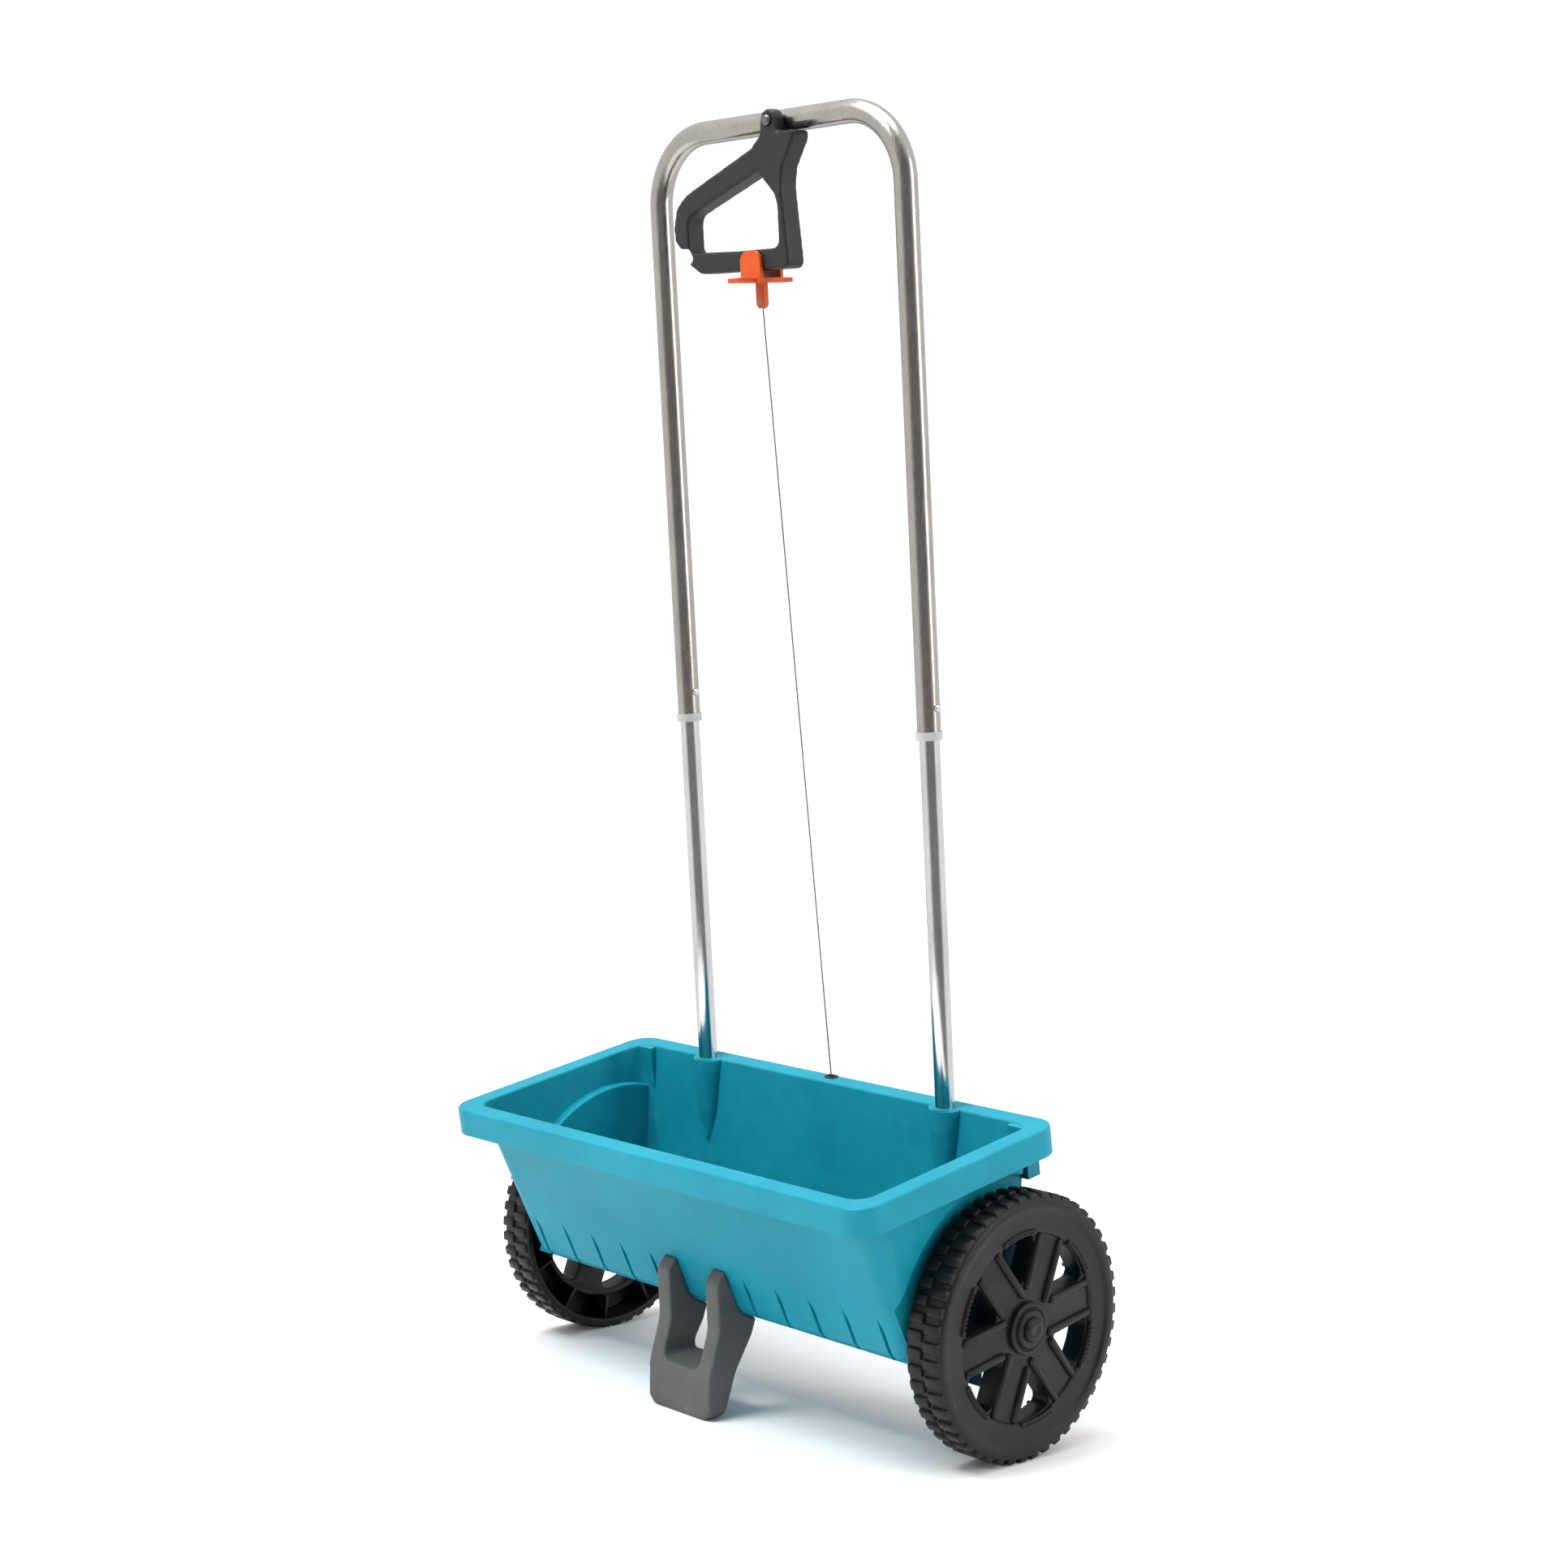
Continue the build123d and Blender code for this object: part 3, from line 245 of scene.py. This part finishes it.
finishes = {
    "hopper": turquoise, "foot": greyFoot, "upper_tube": satinTube, "wire_clip": orangeClip,
    "squeeze_lever": blackLever, "upper_wire": wireMetal, "lower_wire": wireMetal, "rim_grommet": blackLever,
    "shutter_plate": blackWheel, "shutter_arm": blackWheel, "agitator_sleeve": blackLever,
    "agitator_fingers": blackLever, "pivot_bolt": boltMetal, "pivot_nut": boltMetal,
}
for side in ("left", "right"):
    finishes[f"wheel_{side}"] = blackWheel
    finishes[f"hub_cap_{side}"] = blackWheel
    finishes[f"axle_bush_{side}"] = blackLever
    finishes[f"lower_tube_{side}"] = brightTube
    finishes[f"tube_collar_{side}"] = paleCollar

for name, node in nodes.items():
    material = finishes.get(name, zincPart)
    node.data.materials.clear()
    node.data.materials.append(material)
print("frame painted")


# helpers for pieces

def newPiece(name, mesh, material, body, replaced=(), smoothAngle=35):
    data = bpy.data.meshes.new(name)
    mesh.to_mesh(data)
    mesh.free()
    return finishPiece(name, data, material, body, replaced, smoothAngle)


def finishPiece(name, data, material, body, replaced=(), smoothAngle=35):
    data.materials.clear()
    data.materials.append(material)
    data.shade_smooth()
    if smoothAngle < 180:
        data.set_sharp_from_angle(angle=math.radians(smoothAngle))
    piece = bpy.data.objects.new(name, data)
    bpy.context.scene.collection.objects.link(piece)
    if body:
        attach(piece, body)
    if replaced:
        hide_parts(*replaced)
    return piece


def mergedCopy(node):
    mesh = bmesh.new()
    mesh.from_mesh(nodes[node].data)
    bmesh.ops.remove_doubles(mesh, verts=mesh.verts, dist=weldDistance)
    return mesh


def softMoulding(node, settings):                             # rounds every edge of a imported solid
    name = settings["piece"]
    mesh = mergedCopy(node)
    rough = bpy.data.meshes.new(name + "Rough")
    mesh.to_mesh(rough)
    mesh.free()
    holder = bpy.data.objects.new(name + "Rough", rough)
    bpy.context.scene.collection.objects.link(holder)
    remesh = holder.modifiers.new("voxels", "REMESH")
    remesh.mode = "VOXEL"
    remesh.voxel_size = settings["voxel"]
    remesh.adaptivity = 0
    smooth = holder.modifiers.new("soften", "SMOOTH")
    smooth.factor = 0.5
    smooth.iterations = settings["rounds"]
    bpy.context.view_layer.update()
    shaped = bpy.data.meshes.new_from_object(holder.evaluated_get(bpy.context.evaluated_depsgraph_get()))
    shaped.name = name
    bpy.data.objects.remove(holder)
    low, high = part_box(node)
    for vertex in shaped.vertices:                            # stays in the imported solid's own box
        vertex.co = [min(max(vertex.co[k], low[k]), high[k]) for k in range(3)]
    finishPiece(name, shaped, settings["finish"], settings["body"], (node,), 180)


# lever, clip and foot: soft-edged mouldings

softEdges = {
    "squeeze_lever": {"piece": "leverMoulding", "voxel": 0.0009, "rounds": 30, "body": "lever", "slot": "black_plastic",
                      "finish": blackLever},
    "foot": {"piece": "footMoulding", "voxel": 0.0009, "rounds": 24, "body": "chassis", "slot": "grey_plastic",
             "finish": greyFoot},
    "wire_clip": {"piece": "clipMoulding", "voxel": 0.00042, "rounds": 5, "body": "lever", "slot": "orange_plastic",
                  "finish": orangeClip},
}
for node, settings in softEdges.items():
    softMoulding(node, settings)
print("lever, foot and clip moulded")


# wheels

wheelSizes = {
    "tyreRadius": 109.3 * mm, "lugRadius": 112 * mm, "lugCount": 48, "lugWidth": 9.6 * mm, "lugEdge": 1.0 * mm,
    "lugRoot": 1.5 * mm, "lugTaper": (0.92, 0.82, 1), "lugRows": ((245.5, 261.3), (262.7, 278.3)), "steps": 144,
    "ribCount": 12, "ribSize": (25 * mm, 3 * mm, 21 * mm), "ribEdge": 0.5 * mm, "ribPlace": (260.5 * mm, 0, 92.8 * mm),
    "rimInside": 78 * mm, "spokeWidth": 34 * mm, "webLow": 256 * mm, "webHigh": 275 * mm, "webEdge": 1.6 * mm,
    "webOverlap": 2.5 * mm, "windowCount": 6, "windowFar": 0.954, "windowSide": 0.299,
    "innerRounding": 4.5 * mm, "outerRounding": 6.5 * mm, "archRounding": 60 * mm, "beadRadius": 3.7 * mm,
    "beadLift": 0.1 * mm, "beadFrom": 27 * mm, "beadStagger": 6 * mm, "beadTo": 74 * mm, "lipRadius": 2.7 * mm,
    "lipOut": 2.2 * mm, "lipLift": 2.0 * mm, "lipDegrees": 26, "lipSteps": 10, "hubSteps": 72, "capSteps": 48,
}
tyreProfile = ((244, 109.3, 2), (277.2, 109.3, 3.2), (280, 105.8, 1.6), (280, 99.2, 1.6), (277.4, 96.4, 1.5),
               (277.4, 79.8, 1.8), (275.4, 78, 1), (255, 78, 1), (255, 82.5, 0.8), (272.5, 82.5, 1), (272.5, 103, 1),
               (244, 103, 0.8))
hubProfile = ((241.6, 5.05, 0), (241.6, 16, 1), (248, 20, 1), (248, 22, 0), (279.5, 22, 1.6), (279.5, 18.5, 0.6),
              (278.2, 17.6, 0.6), (278.2, 16.4, 0.6), (282, 15.6, 1.5), (282, 8.5, 0.8), (270, 8.5, 0), (270, 5.05, 0))
capProfile = ((277, 0), (277, 8.4), (281.9, 8.4), (282.1, 10.4), (283.4, 10.5), (285.2, 9.6), (286.2, 7.4),
              (286.5, 4.6), (286.2, 3.9), (285.9, 0))
aboutX = {"cent": (0, 0, 0), "axis": (1, 0, 0), "angle": math.tau, "use_merge": True, "use_duplicate": False}


def turnedBody(profile, steps):                               # lathes (x, radius, rounding) corners in millimetres
    mesh = bmesh.new()
    corners = [mesh.verts.new((x * mm, 0, radius * mm)) for x, radius, rounding in profile]
    mesh.faces.new(corners)
    for size in sorted({rounding for x, radius, rounding in profile if rounding}):
        chosen = [corner for corner, (x, radius, rounding) in zip(corners, profile)
                  if rounding == size and corner.is_valid]
        bmesh.ops.bevel(mesh, geom=chosen, offset=size * mm, offset_type="OFFSET", segments=4, profile=0.5,
                        affect="VERTICES", material=-1)
    bmesh.ops.delete(mesh, geom=list(mesh.faces), context="FACES_ONLY")
    bmesh.ops.spin(mesh, geom=list(mesh.verts) + list(mesh.edges), dvec=(0, 0, 0), steps=steps, **aboutX)
    bmesh.ops.remove_doubles(mesh, verts=mesh.verts, dist=seamDistance)
    bmesh.ops.recalc_face_normals(mesh, faces=mesh.faces)
    return mesh


def addMesh(target, source):                                  # adds one bmesh to another
    data = bpy.data.meshes.new("part")
    source.to_mesh(data)
    source.free()
    target.from_mesh(data)
    bpy.data.meshes.remove(data)


def capsule(radius, start, end, sides=16):                    # a round-ended bar between two points
    mesh = bmesh.new()
    bmesh.ops.create_uvsphere(mesh, u_segments=sides, v_segments=sides // 2, radius=radius)
    line = Vector(end) - Vector(start)
    for vertex in mesh.verts:
        if vertex.co.z > 1e-7:
            vertex.co.z += line.length
    turn = line.to_track_quat("Z", "Y").to_matrix().to_4x4()
    bmesh.ops.transform(mesh, matrix=Matrix.Translation(start) @ turn, verts=mesh.verts)
    return mesh


def roundedOutline(corners, steps=8):                         # points of a closed outline from (x, y, rounding) corners
    points = []
    for k, (x, y, rounding) in enumerate(corners):
        here = Vector((x, y))
        before = (Vector(corners[k - 1][:2]) - here).normalized()
        after = (Vector(corners[(k + 1) % len(corners)][:2]) - here).normalized()
        turn = math.pi - before.angle(after)
        centre = here + (before + after).normalized() * rounding / math.cos(turn / 2)
        reach = here + before * rounding * math.tan(turn / 2) - centre
        way = 1 if before.x * after.y < before.y * after.x else -1
        points += [centre + Matrix.Rotation(way * turn * n / steps, 2) @ reach for n in range(steps + 1)]
    return points


def flatPlate(outlines, thickness, edge, edgeSteps=3):        # a plate from closed outlines, lying in XY
    curve = bpy.data.curves.new("plate", "CURVE")
    curve.dimensions = "2D"
    curve.fill_mode = "BOTH"
    for points in outlines:
        spline = curve.splines.new("POLY")
        spline.points.add(len(points) - 1)
        for point, (x, y) in zip(spline.points, points):
            point.co = (x, y, 0, 1)
        spline.use_cyclic_u = True
    curve.extrude = thickness / 2 - edge
    curve.bevel_depth = edge
    curve.bevel_resolution = edgeSteps
    curve.offset = -edge
    holder = bpy.data.objects.new("plate", curve)
    data = bpy.data.meshes.new_from_object(holder)
    mesh = bmesh.new()
    mesh.from_mesh(data)
    bpy.data.objects.remove(holder)
    bpy.data.meshes.remove(data)
    bpy.data.curves.remove(curve)
    bmesh.ops.remove_doubles(mesh, verts=mesh.verts, dist=weldDistance)
    bmesh.ops.recalc_face_normals(mesh, faces=mesh.faces)
    return mesh


def circlePoints(radius, count=96):
    return [(radius * math.cos(math.tau * k / count), radius * math.sin(math.tau * k / count)) for k in range(count)]


def wheelWeb(sizes):                                          # spoked web with rounded windows
    half = sizes["spokeWidth"] / 2
    step = 360 / sizes["windowCount"]
    apex = half / math.sin(math.radians(step / 2))
    rim = sizes["rimInside"]
    far, side = rim * sizes["windowFar"], rim * sizes["windowSide"]
    outlines = [circlePoints(rim + sizes["webOverlap"])]
    for k in range(sizes["windowCount"]):
        angle = math.radians(step / 2 + step * k)
        corners = [(apex, 0, sizes["innerRounding"]), (far, side, sizes["outerRounding"]),
                   (rim, 0, sizes["archRounding"]), (far, -side, sizes["outerRounding"])]
        outlines.append([Matrix.Rotation(angle, 2) @ point for point in roundedOutline(corners)])
    thickness = sizes["webHigh"] - sizes["webLow"]
    mesh = flatPlate(outlines, thickness, sizes["webEdge"])
    upright = Matrix.Rotation(math.radians(90), 4, "Z") @ Matrix.Rotation(math.radians(90), 4, "X")
    middle = Matrix.Translation(((sizes["webHigh"] + sizes["webLow"]) / 2, 0, 0))
    bmesh.ops.transform(mesh, matrix=middle @ upright, verts=mesh.verts)
    return mesh


def lug(sizes, low, high):                                    # one tread block, at the top of the wheel
    mesh = bmesh.new()
    bmesh.ops.create_cube(mesh, size=1)
    depth = sizes["lugRadius"] - sizes["tyreRadius"] + sizes["lugRoot"]
    size = (high - low, sizes["lugWidth"], depth)
    bmesh.ops.scale(mesh, vec=size, verts=mesh.verts)
    top = [vertex for vertex in mesh.verts if vertex.co.z > 0]
    bmesh.ops.scale(mesh, vec=sizes["lugTaper"], verts=top)
    edges = [edge for edge in mesh.edges if all(vertex.co.z > 0 for vertex in edge.verts)
             or abs(edge.verts[0].co.z - edge.verts[1].co.z) > depth / 2]
    bmesh.ops.bevel(mesh, geom=edges, offset=sizes["lugEdge"], offset_type="OFFSET", segments=2, profile=0.5,
                    affect="EDGES", material=-1)
    place = ((low + high) / 2, 0, sizes["lugRadius"] - depth / 2)
    bmesh.ops.translate(mesh, vec=place, verts=mesh.verts)
    reach = max(math.hypot(vertex.co.y, vertex.co.z) for vertex in mesh.verts)
    bmesh.ops.translate(mesh, vec=(0, 0, sizes["lugRadius"] - reach), verts=mesh.verts)
    return mesh


def ringOf(target, maker, count, first=0.0):                  # copies of one bmesh round the axle
    for k in range(count):
        copy = maker()
        turn = Matrix.Rotation(first + math.tau * k / count, 3, "X")
        bmesh.ops.rotate(copy, cent=(0, 0, 0), matrix=turn, verts=copy.verts)
        addMesh(target, copy)


def wheelMesh(sizes):                                         # one right-hand wheel about the X axis
    mesh = bmesh.new()
    addMesh(mesh, turnedBody(tyreProfile, sizes["steps"]))
    for row, (low, high) in enumerate(sizes["lugRows"]):
        ringOf(mesh, lambda: lug(sizes, low * mm, high * mm), sizes["lugCount"], row * math.pi / sizes["lugCount"])
    addMesh(mesh, wheelWeb(sizes))
    half = sizes["spokeWidth"] / 2 - sizes["beadRadius"]
    step = 360 / sizes["windowCount"]
    for k in range(sizes["windowCount"]):
        angle = math.radians(step * k)
        for sign in (-1, 1):
            ends = []
            for y in (sizes["beadFrom"] + sizes["beadStagger"] * (sign > 0), sizes["beadTo"]):
                z = sign * half
                ends.append((sizes["webHigh"] + sizes["beadLift"], y * math.cos(angle) - z * math.sin(angle),
                             y * math.sin(angle) + z * math.cos(angle)))
            addMesh(mesh, capsule(sizes["beadRadius"], *ends))
    ringOf(mesh, lambda: windowLip(sizes), sizes["windowCount"], math.radians(step / 2))
    ringOf(mesh, lambda: tyreRib(sizes), sizes["ribCount"], math.pi / sizes["ribCount"])
    addMesh(mesh, turnedBody(hubProfile, sizes["hubSteps"]))
    return mesh


def windowLip(sizes):                                         # raised lip on the rim outside one window
    mesh = bmesh.new()
    radius, count = sizes["rimInside"] + sizes["lipOut"], sizes["lipSteps"]
    spread = math.radians(sizes["lipDegrees"])
    level = sizes["webHigh"] + sizes["lipLift"]
    for k in range(count):
        a, b = (spread * (n / count - 0.5) for n in (k, k + 1))
        ends = [(level, radius * math.cos(t), radius * math.sin(t)) for t in (a, b)]
        addMesh(mesh, capsule(sizes["lipRadius"], *ends, sides=10))
    return mesh


def tyreRib(sizes):                                           # one rib across the cored back of the tyre
    mesh = bmesh.new()
    bmesh.ops.create_cube(mesh, size=1)
    bmesh.ops.scale(mesh, vec=sizes["ribSize"], verts=mesh.verts)
    bmesh.ops.bevel(mesh, geom=mesh.edges, offset=sizes["ribEdge"], offset_type="OFFSET", segments=2, profile=0.5,
                    affect="EDGES", material=-1)
    bmesh.ops.translate(mesh, vec=sizes["ribPlace"], verts=mesh.verts)
    return mesh


def hubCapMesh():                                             # domed cap from (x, radius) in millimetres
    mesh = bmesh.new()
    line = [mesh.verts.new((x * mm, 0, radius * mm)) for x, radius in capProfile]
    edges = [mesh.edges.new(pair) for pair in zip(line, line[1:])]
    bmesh.ops.spin(mesh, geom=line + edges, dvec=(0, 0, 0), steps=wheelSizes["capSteps"], **aboutX)
    bmesh.ops.remove_doubles(mesh, verts=mesh.verts, dist=seamDistance)
    bmesh.ops.recalc_face_normals(mesh, faces=mesh.faces)
    return mesh


def placeAtAxle(mesh, side):                                  # mirrors for the left side and moves onto the axle
    if side == "left":
        bmesh.ops.scale(mesh, vec=(-1, 1, 1), verts=mesh.verts)
        bmesh.ops.reverse_faces(mesh, faces=mesh.faces)
    bmesh.ops.transform(mesh, matrix=hopperPlace, verts=mesh.verts)
    return mesh


rightWheel = wheelMesh(wheelSizes)
for side, body in (("right", "drive_wheel"), ("left", "free_wheel")):
    newPiece(f"wheelMoulding_{side}", placeAtAxle(rightWheel.copy(), side), blackWheel, body,
             (f"wheel_{side}",), 40)
    newPiece(f"hubCapMoulding_{side}", placeAtAxle(hubCapMesh(), side), blackWheel, body,
             (f"hub_cap_{side}",), 50)
rightWheel.free()
print("wheels made")


# return springs under the apron

springSizes = {"front": (-62.0, -19.5), "back": (-9.0, -38.9), "radius": 1.9, "wire": 0.5, "turns": 24, "perTurn": 10,
               "hook": 4.0, "tail": 1.0, "sides": {"left": -110, "right": 110}}


def springPiece(name, x):                                     # a coil that stretches between hopper and shutter
    front, back = (Vector((x, *springSizes[key])) for key in ("front", "back"))
    axis = (back - front).normalized()
    across = Vector((1, 0, 0))
    upward = axis.cross(across)
    coil = (back - front).length - 2 * springSizes["hook"]
    steps = springSizes["perTurn"] * springSizes["turns"]
    points = [front - axis * springSizes["tail"]]
    for k in range(steps + 1):
        angle = math.tau * k / springSizes["perTurn"]
        outward = across * math.cos(angle) + upward * math.sin(angle)
        along = springSizes["hook"] + coil * k / steps
        points.append(front + axis * along + outward * springSizes["radius"])
    points.append(back + axis * springSizes["tail"])
    curve = bpy.data.curves.new(name, "CURVE")
    curve.dimensions = "3D"
    spline = curve.splines.new("NURBS")
    spline.points.add(len(points) - 1)
    for point, place in zip(spline.points, points):
        point.co = (*(hopperPlace @ (place * mm)), 1)
    spline.order_u = 3
    spline.use_endpoint_u = True
    curve.bevel_depth = springSizes["wire"] * mm
    curve.bevel_resolution = 2
    curve.resolution_u = 2
    curve.use_fill_caps = True
    holder = bpy.data.objects.new(name, curve)
    data = bpy.data.meshes.new_from_object(holder)
    data.name = name
    bpy.data.objects.remove(holder)
    piece = finishPiece(name, data, zincPart, None, ("return_springs",), 180)
    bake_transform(piece)


for side, x in springSizes["sides"].items():
    springPiece(f"returnSpring_{side}", x)
print("springs wound")


# tapered flares round the tube sockets, inside the hopper

socketFlare = {"sides": {"left": -151.2, "right": 151.2}, "rimHeight": 152.4, "steps": 24,
               "sections": ((0.3, 17.2, 59.0, 13.6), (46, 12.3, 51.7, 9.9), (84, 1.2, 46.2, 1.1))}


def flareMesh(x):                                             # half-round taper running out down the back wall
    mesh = bmesh.new()
    steps = socketFlare["steps"]
    rings = []
    around = [math.pi * k / steps for k in range(steps + 1)]
    for depth, halfWidth, back, proud in socketFlare["sections"]:
        height = socketFlare["rimHeight"] - depth
        points = [Vector((x + halfWidth * math.cos(t), back - proud * math.sin(t), height)) * mm for t in around]
        rings.append([mesh.verts.new(hopperPlace @ point) for point in points])
    for upper, lower in zip(rings, rings[1:]):
        for k in range(steps):
            mesh.faces.new((upper[k], upper[k + 1], lower[k + 1], lower[k]))
        mesh.faces.new((upper[0], upper[-1], lower[-1], lower[0]))
    mesh.faces.new(rings[0])
    mesh.faces.new(rings[-1])
    bmesh.ops.recalc_face_normals(mesh, faces=mesh.faces)
    return mesh


for side, x in socketFlare["sides"].items():
    newPiece(f"socketFlare_{side}", flareMesh(x), turquoise, "chassis", (), 40)
print("socket flares added")


# leaf springs behind the snap buttons

for side in ("left", "right"):
    node = f"button_spring_{side}"
    spring = newPiece(f"buttonLeaf_{side}", mergedCopy(node), zincPart, None, (node,))
    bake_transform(spring)
print("button springs placed")


# light, floor and camera

def areaLight(name, place, target, size, power):
    lamp = bpy.data.lights.new(name, "AREA")
    lamp.shape = "RECTANGLE"
    lamp.size, lamp.size_y = size
    lamp.energy = power
    holder = bpy.data.objects.new(name, lamp)
    holder.location = place
    holder.rotation_euler = (Vector(target) - Vector(place)).to_track_quat("-Z", "Y").to_euler()
    bpy.context.scene.collection.objects.link(holder)


studio = {"floorRadius": 1.1, "floorSegments": 96, "floorColour": (0.92, 0.92, 0.92), "floorRoughness": 0.9,
          "floorSpecular": 0.1, "skyStrength": 1.1,
          "shadeToward": (0.72, -0.69, -0.05),                # darker sky here gives the tubes a dark middle
          "shade": 0.26, "shadeCore": 0.78, "shadeEdge": 0.42, "farShade": 0.42, "farCore": -0.96, "farEdge": -0.80}
lights = {
    "keyLight": ((-0.5, -1.9, 3.2), (0, 0, 0.3), (1.3, 1.3), 105),
    "sideLight": ((2.4, 0.9, 1.3), (0, 0, 0.5), (0.5, 1.8), 22),
    "topLight": ((0.1, -0.2, 2.8), (0, 0.05, 0.2), (1.6, 1.2), 26),
}

floorMesh = bmesh.new()
bmesh.ops.create_circle(floorMesh, cap_ends=True, segments=studio["floorSegments"],
                        radius=studio["floorRadius"])
floorData = bpy.data.meshes.new("studioFloor")
floorMesh.to_mesh(floorData)
floorMesh.free()
floor = bpy.data.objects.new("studioFloor", floorData)
bpy.context.scene.collection.objects.link(floor)
paleFloor = newMaterial("pale floor", studio["floorColour"], studio["floorRoughness"], specular=studio["floorSpecular"])
floorData.materials.append(paleFloor[0])

world = bpy.data.worlds.new("studioWorld")
world.use_nodes = True
sky = world.node_tree
direction = sky.nodes.new("ShaderNodeTexCoord")
toward = sky.nodes.new("ShaderNodeVectorMath")
toward.operation = "DOT_PRODUCT"
toward.inputs[1].default_value = Vector(studio["shadeToward"]).normalized()
sky.links.new(direction.outputs["Generated"], toward.inputs[0])
shade, far = (remap(sky, toward.outputs["Value"], studio[edge], studio[core], studio["skyStrength"], studio[level])
              for edge, core, level in (("shadeEdge", "shadeCore", "shade"), ("farEdge", "farCore", "farShade")))
path = sky.nodes.new("ShaderNodeLightPath")
seen = maths(sky, "MULTIPLY", path.outputs["Is Camera Ray"], studio["skyStrength"])
strength = maths(sky, "MAXIMUM", maths(sky, "MINIMUM", shade, far), seen)
sky.links.new(strength, sky.nodes["Background"].inputs["Strength"])
sky.nodes["Background"].inputs["Color"].default_value = (1, 1, 1, 1)
bpy.context.scene.world = world
bpy.context.scene.view_settings.view_transform = "Standard"

for name, (place, target, size, power) in lights.items():
    areaLight(name, place, target, size, power)

cameraSettings = {"place": (1.70521, -1.62841, 0.69894), "right": (0.69034, 0.72280, 0.03134),
                  "up": (-0.06991, 0.02353, 0.99728), "forward": (-0.72010, 0.69065, -0.06678), "lens": 62.14,
                  "sensor": 36, "near": 0.05, "far": 50}
cameraData = bpy.data.cameras.new("photoCamera")
cameraData.sensor_width = cameraSettings["sensor"]
cameraData.lens = cameraSettings["lens"]
cameraData.clip_start, cameraData.clip_end = cameraSettings["near"], cameraSettings["far"]
camera = bpy.data.objects.new("photoCamera", cameraData)
axes = Matrix((cameraSettings["right"], cameraSettings["up"], [-v for v in cameraSettings["forward"]])).transposed()
camera.matrix_world = Matrix.Translation(cameraSettings["place"]) @ axes.to_4x4()
bpy.context.scene.collection.objects.link(camera)
bpy.context.scene.camera = camera
print("studio set up")
